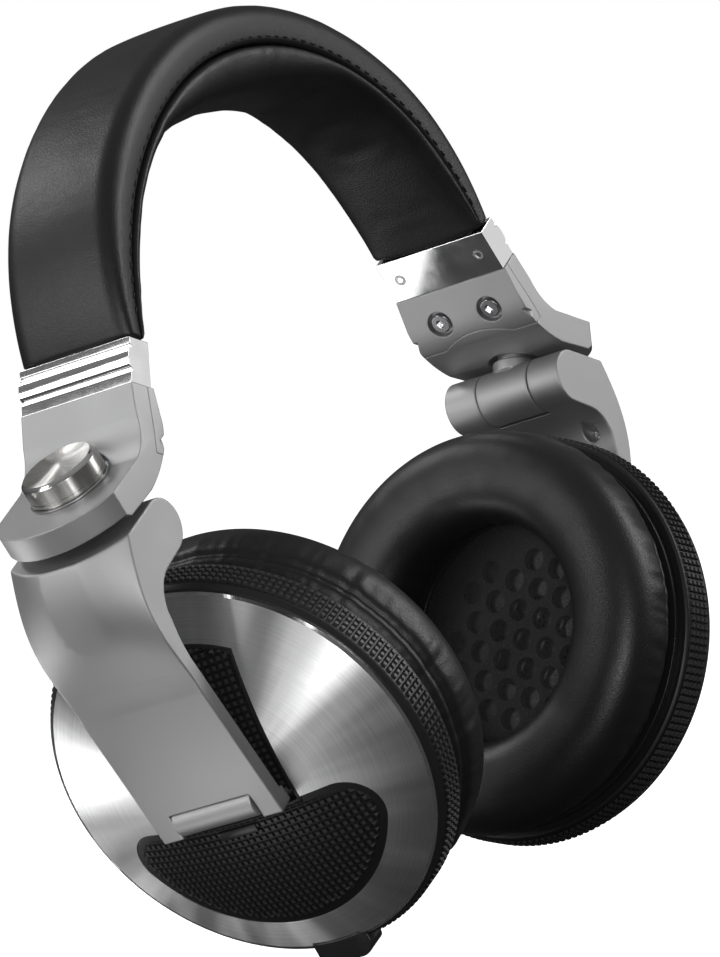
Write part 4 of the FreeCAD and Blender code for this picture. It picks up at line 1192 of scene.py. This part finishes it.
def tray_outline(inset):
    """The upper inlay's outline, counterclockwise: three straight sides and an arc of the cup."""
    half = 18.3 - inset
    top = 36.5 - inset
    end = 6.2 - inset
    lean = math.asin(half / top)
    points = [(end, -half), (end, half)]
    for step in range(13):
        turn = math.pi - lean + 2 * lean * step / 12
        points.append((top * math.cos(turn), top * math.sin(turn)))
    return points


def paint_groove_shade_and_top_highlight(piece, body):
    """Painted shade and painted highlight: a darker black in the grooves and on the sides, and a paler
    black on the tops, as light falls on them.
    """
    piece.data.materials.append(finish("groove_painted_shade"))
    piece.data.materials.append(finish("top_painted_highlight"))
    dress(piece, body, "texture_black")


def inlay_pieces(side):
    cup = bpy.context.scene.headphone_cup
    pitch = cup.pyramid_pitch / MM
    height = cup.pyramid_height / MM
    body = f"{side}_cup"
    metal_copy(f"{side}_lower_inlay", body, "texture_black", 0.25 * MM)
    metal_copy(f"{side}_upper_inlay", body, "texture_black", 0.25 * MM)
    fields = (("lower", bean_outline(1.7), 0.15), ("upper", tray_outline(2.2), 3.0))
    for name, outline, drop in fields:
        field = pyramid_field(outline, drop, pitch, height)
        paint_groove_shade_and_top_highlight(finish_mesh(field, f"{side}_{name}_pyramids", side, CUP, smooth=False), body)
    bm = bmesh.new()
    bmesh.ops.create_cube(bm, size=1)
    bmesh.ops.scale(bm, verts=bm.verts, vec=(2.2, 10.5, 1.4))
    edges = list(bm.edges)
    bmesh.ops.bevel(bm, geom=edges, offset=0.4, segments=2, profile=0.5, affect="EDGES", material=-1)
    bmesh.ops.translate(bm, verts=bm.verts, vec=(8.4, 0, dome_height(8.4, 0) + 0.05))
    tab = finish_mesh(bm, f"{side}_inlay_tab", side, CUP)
    flat_edges(tab, 40)
    dress(tab, body, "black_plastic")


def grip_ring_piece(side):
    """Rows of pyramids around the edge of the cup, between plain borders."""
    cup = bpy.context.scene.headphone_cup
    body = f"{side}_cup"
    metal_copy(f"{side}_grip_ring", body, "texture_black", 0.2 * MM)
    rows = cup.grip_rows
    border = 0.55
    tall = RING_HEIGHT - 0.6 - 2 * border
    pitch = tall / rows
    count = round(math.tau * RING_RADIUS / pitch)
    bm = bmesh.new()
    bmesh.ops.create_grid(bm, x_segments=count, y_segments=rows, size=0.5)
    bmesh.ops.scale(bm, verts=bm.verts, vec=(count * pitch, tall, 1))
    faces = list(bm.faces)
    bmesh.ops.inset_individual(bm, faces=faces, thickness=pitch * 0.1, depth=0, use_even_offset=True)
    bmesh.ops.inset_individual(bm, faces=faces, thickness=pitch * 0.16, depth=0.6, use_even_offset=True)
    # The tops take the second slot, the paler black of the painted highlight; grooves and sides keep the
    # painted shade.
    for face in faces:
        face.material_index = 1
    if side == "left":
        bound = INLET_HALF + 0.3
        gone = [face for face in bm.faces if abs(face.calc_center_median().x) < bound]
        bmesh.ops.delete(bm, geom=gone, context="FACES")
    length = count * pitch
    for vert in bm.verts:
        angle = vert.co.x / length * math.tau
        reach = RING_RADIUS - 0.03 + vert.co.z
        height = 0.6 + border + tall / 2 - vert.co.y
        vert.co = (reach * math.cos(angle), reach * math.sin(angle), height)
    bmesh.ops.remove_doubles(bm, verts=bm.verts, dist=0.001)
    bmesh.ops.recalc_face_normals(bm, faces=bm.faces)
    grip = finish_mesh(bm, f"{side}_grip_pyramids", side, CUP, smooth=False)
    paint_groove_shade_and_top_highlight(grip, body)


def pad_outline(around):
    """The pad's section as (radius, height); the ear side is full and round, the cup side flatter."""
    turn = around * math.tau
    power = 2 / 2.5
    across = math.copysign(abs(math.cos(turn)) ** power, math.cos(turn))
    along = math.copysign(abs(math.sin(turn)) ** power, math.sin(turn))
    radius = 37.0 + 10.9 * across
    height = -11.5 + 9.9 * along
    return radius, height


def pad_mesh():
    """One ear pad in the cup's own frame, in metres: swollen, then seamed and wrinkled."""
    def spot(turn, around):
        radius, height = pad_outline(around)
        angle = turn * math.tau
        return Vector((radius * math.cos(angle), radius * math.sin(angle), height))

    bm = grid_shape(132, 34, spot)
    bmesh.ops.recalc_face_normals(bm, faces=bm.faces)
    pad = finish_mesh(bm, "pad_pattern")
    cap = bpy.context.scene.headphone_cup.pad_swell

    def held(co):
        return 1.0 if co.z > -3.4 * MM else 0.0

    swell(pad, held, cap, 3.0)
    smooth_out(pad, "Finer")
    graph = bpy.context.evaluated_depsgraph_get()
    mesh = bpy.data.meshes.new_from_object(pad.evaluated_get(graph))
    bpy.data.objects.remove(pad)
    for vert in mesh.vertices:
        vert.co = wrinkled(vert.co / MM) * MM
    return mesh


def wrinkled(spot):
    """Move a point of the pad, in millimetres, for the seam, the gathers beside it and slow unevenness."""
    angle = math.atan2(spot.y, spot.x)
    radius = math.hypot(spot.x, spot.y)
    height = spot.z
    ring = Vector((math.cos(angle), math.sin(angle), 0))
    x, y = math.cos(angle) * 10, math.sin(angle) * 10
    outer = max(0.0, min(1.0, (radius - 41.0) / 4.0))
    inner = max(0.0, min(1.0, (32.0 - radius) / 4.0))
    seam = math.exp(-((height + 6.4) / 0.7) ** 2)
    gathers = wander(x * 2.6, y * 2.6, height * 0.05) + 0.6 * wander(x * 5.2, y * 5.2, 7 + height * 0.08)
    below = math.exp(-((height + 9.5) / 3.6) ** 2)
    lip = math.exp(-((height + 4.2) / 1.6) ** 2)
    shift = outer * (-1.2 * seam + 0.5 * gathers * below + 0.3 * gathers * lip)
    folds = wander(x * 1.1, y * 1.1, 20) + 0.5 * wander(x * 3.1, y * 3.1, 25)
    shift -= inner * 0.5 * folds * math.exp(-((height + 9.0) / 5.0) ** 2)
    rise = 0.22 * wander(x * 0.5, y * 0.5, 12) * (1 - outer) * (1 - inner)
    return spot + ring * shift + Vector((0, 0, rise))


def ear_pads():
    shape = pad_mesh()
    for side in SIDES:
        mesh = shape.copy()
        mesh.transform(on_side(side, CUP))
        pad = bpy.data.objects.new(f"{side}_ear_pad_leather", mesh)
        bpy.context.scene.collection.objects.link(pad)
        for polygon in mesh.polygons:
            polygon.use_smooth = True
        mesh.materials.clear()
        smooth_out(pad)
        dress(pad, f"{side}_cup", "black_leather", f"{side}_ear_pad")
    bpy.data.meshes.remove(shape)


CLOTH_RADIUS = 28.0


def inside_pieces():
    for side in SIDES:
        body = f"{side}_cup"
        metal_copy(f"{side}_cup_bracket", body, "satin_silver", 0.3 * MM)
        metal_copy(f"{side}_cup_shell", body, "black_plastic", 0.2 * MM)
        metal_copy(f"{side}_pad_ring", body, "black_plastic", 0.15 * MM)
        refinish(f"{side}_baffle", "baffle_grey")
        refinish(f"{side}_driver_motor", "driver_metal")
        refinish(f"{side}_diaphragm", "membrane")
        refinish(f"{side}_cup_screws", "screw_steel")
        refinish(f"{side}_slide_guide", "guide_plastic")

        def spot(turn, out):
            radius = CLOTH_RADIUS * (1 - out)
            sag = 0.35 * (1 - (radius / CLOTH_RADIUS) ** 2)
            angle = turn * math.tau
            return Vector((radius * math.cos(angle), radius * math.sin(angle), -1.05 - sag))

        bm = grid_shape(96, 16, spot)
        cloth = finish_mesh(bm, f"{side}_ear_cloth", side, CUP)
        dress(cloth, body, "black_mesh", f"{side}_speaker_mesh")
    refinish("headband_core", "spring_steel")


def inlet_pieces():
    metal_copy("left_cable_inlet", "left_cup", "black_rubber", 0.5 * MM, segments=3)
    metal_copy("left_socket_sleeve", "left_cup", "polished_steel", 0.15 * MM)


# ---------------------------------------------------------------- operators
class HEADPHONES_OT_stage(bpy.types.Operator):
    """Make the floor, the soft lights and the camera"""

    bl_idname = "headphones.stage"
    bl_label = "Stage"

    def execute(self, context):
        make_stage()
        return {"FINISHED"}


class HEADPHONES_OT_headband(bpy.types.Operator):
    """Make the leather cover, its cushion and the stitches"""

    bl_idname = "headphones.headband"
    bl_label = "Headband"

    def execute(self, context):
        headband_cover()
        headband_cushion()
        seam_stitches()
        return {"FINISHED"}


class HEADPHONES_OT_collars(bpy.types.Operator):
    """Make the polished end collars and their screws"""

    bl_idname = "headphones.collars"
    bl_label = "Collars"

    def execute(self, context):
        collar_pieces()
        return {"FINISHED"}


class HEADPHONES_OT_sliders(bpy.types.Operator):
    """Make the housings, their inner covers and the socket screws"""

    bl_idname = "headphones.sliders"
    bl_label = "Sliders"

    def execute(self, context):
        slider_pieces()
        return {"FINISHED"}


class HEADPHONES_OT_swivels(bpy.types.Operator):
    """Make the knobs, washers and yokes"""

    bl_idname = "headphones.swivels"
    bl_label = "Swivels"

    def execute(self, context):
        swivel_pieces()
        return {"FINISHED"}


class HEADPHONES_OT_arms(bpy.types.Operator):
    """Make the hanger arms with their pins and screws"""

    bl_idname = "headphones.arms"
    bl_label = "Arms"

    def execute(self, context):
        arm_pieces()
        return {"FINISHED"}


class HEADPHONES_OT_cups(bpy.types.Operator):
    """Make the domes, the textured inlays and the grip rings"""

    bl_idname = "headphones.cups"
    bl_label = "Cups"

    def execute(self, context):
        for side in SIDES:
            dome_piece(side)
            inlay_pieces(side)
            grip_ring_piece(side)
        return {"FINISHED"}


class HEADPHONES_OT_inside(bpy.types.Operator):
    """Make the shells, brackets and ear cloths, and finish the parts behind them"""

    bl_idname = "headphones.inside"
    bl_label = "Inside"

    def execute(self, context):
        inside_pieces()
        return {"FINISHED"}


class HEADPHONES_OT_pads(bpy.types.Operator):
    """Make the ear pads"""

    bl_idname = "headphones.pads"
    bl_label = "Ear pads"

    def execute(self, context):
        ear_pads()
        return {"FINISHED"}


class HEADPHONES_OT_inlet(bpy.types.Operator):
    """Make the cable inlet and its sleeve"""

    bl_idname = "headphones.inlet"
    bl_label = "Cable inlet"

    def execute(self, context):
        inlet_pieces()
        return {"FINISHED"}


STEPS = (
    HEADPHONES_OT_stage,
    HEADPHONES_OT_headband,
    HEADPHONES_OT_collars,
    HEADPHONES_OT_sliders,
    HEADPHONES_OT_swivels,
    HEADPHONES_OT_arms,
    HEADPHONES_OT_cups,
    HEADPHONES_OT_inside,
    HEADPHONES_OT_pads,
    HEADPHONES_OT_inlet,
)


class HEADPHONES_PT_panel(bpy.types.Panel):
    """Lists the steps that build the headphones"""

    bl_idname = "HEADPHONES_PT_panel"
    bl_label = "Headphones"
    bl_space_type = "VIEW_3D"
    bl_region_type = "UI"
    bl_category = "Headphones"

    def draw(self, context):
        for step in STEPS:
            self.layout.operator(step.bl_idname)


SETTINGS = {
    "headphone_band": BandSettings,
    "headphone_metal": MetalSettings,
    "headphone_cup": CupSettings,
    "headphone_stage": StageSettings,
}
CLASSES = (*SETTINGS.values(), *STEPS, HEADPHONES_PT_panel)


def register():
    for each in CLASSES:
        bpy.utils.register_class(each)
    for name, group in SETTINGS.items():
        setattr(bpy.types.Scene, name, PointerProperty(type=group))


def unregister():
    for name in SETTINGS:
        delattr(bpy.types.Scene, name)
    for each in reversed(CLASSES):
        bpy.utils.unregister_class(each)


def main():
    register()
    for step in STEPS:
        family, action = step.bl_idname.split(".")
        getattr(getattr(bpy.ops, family), action)()


if __name__ == "__main__":
    main()
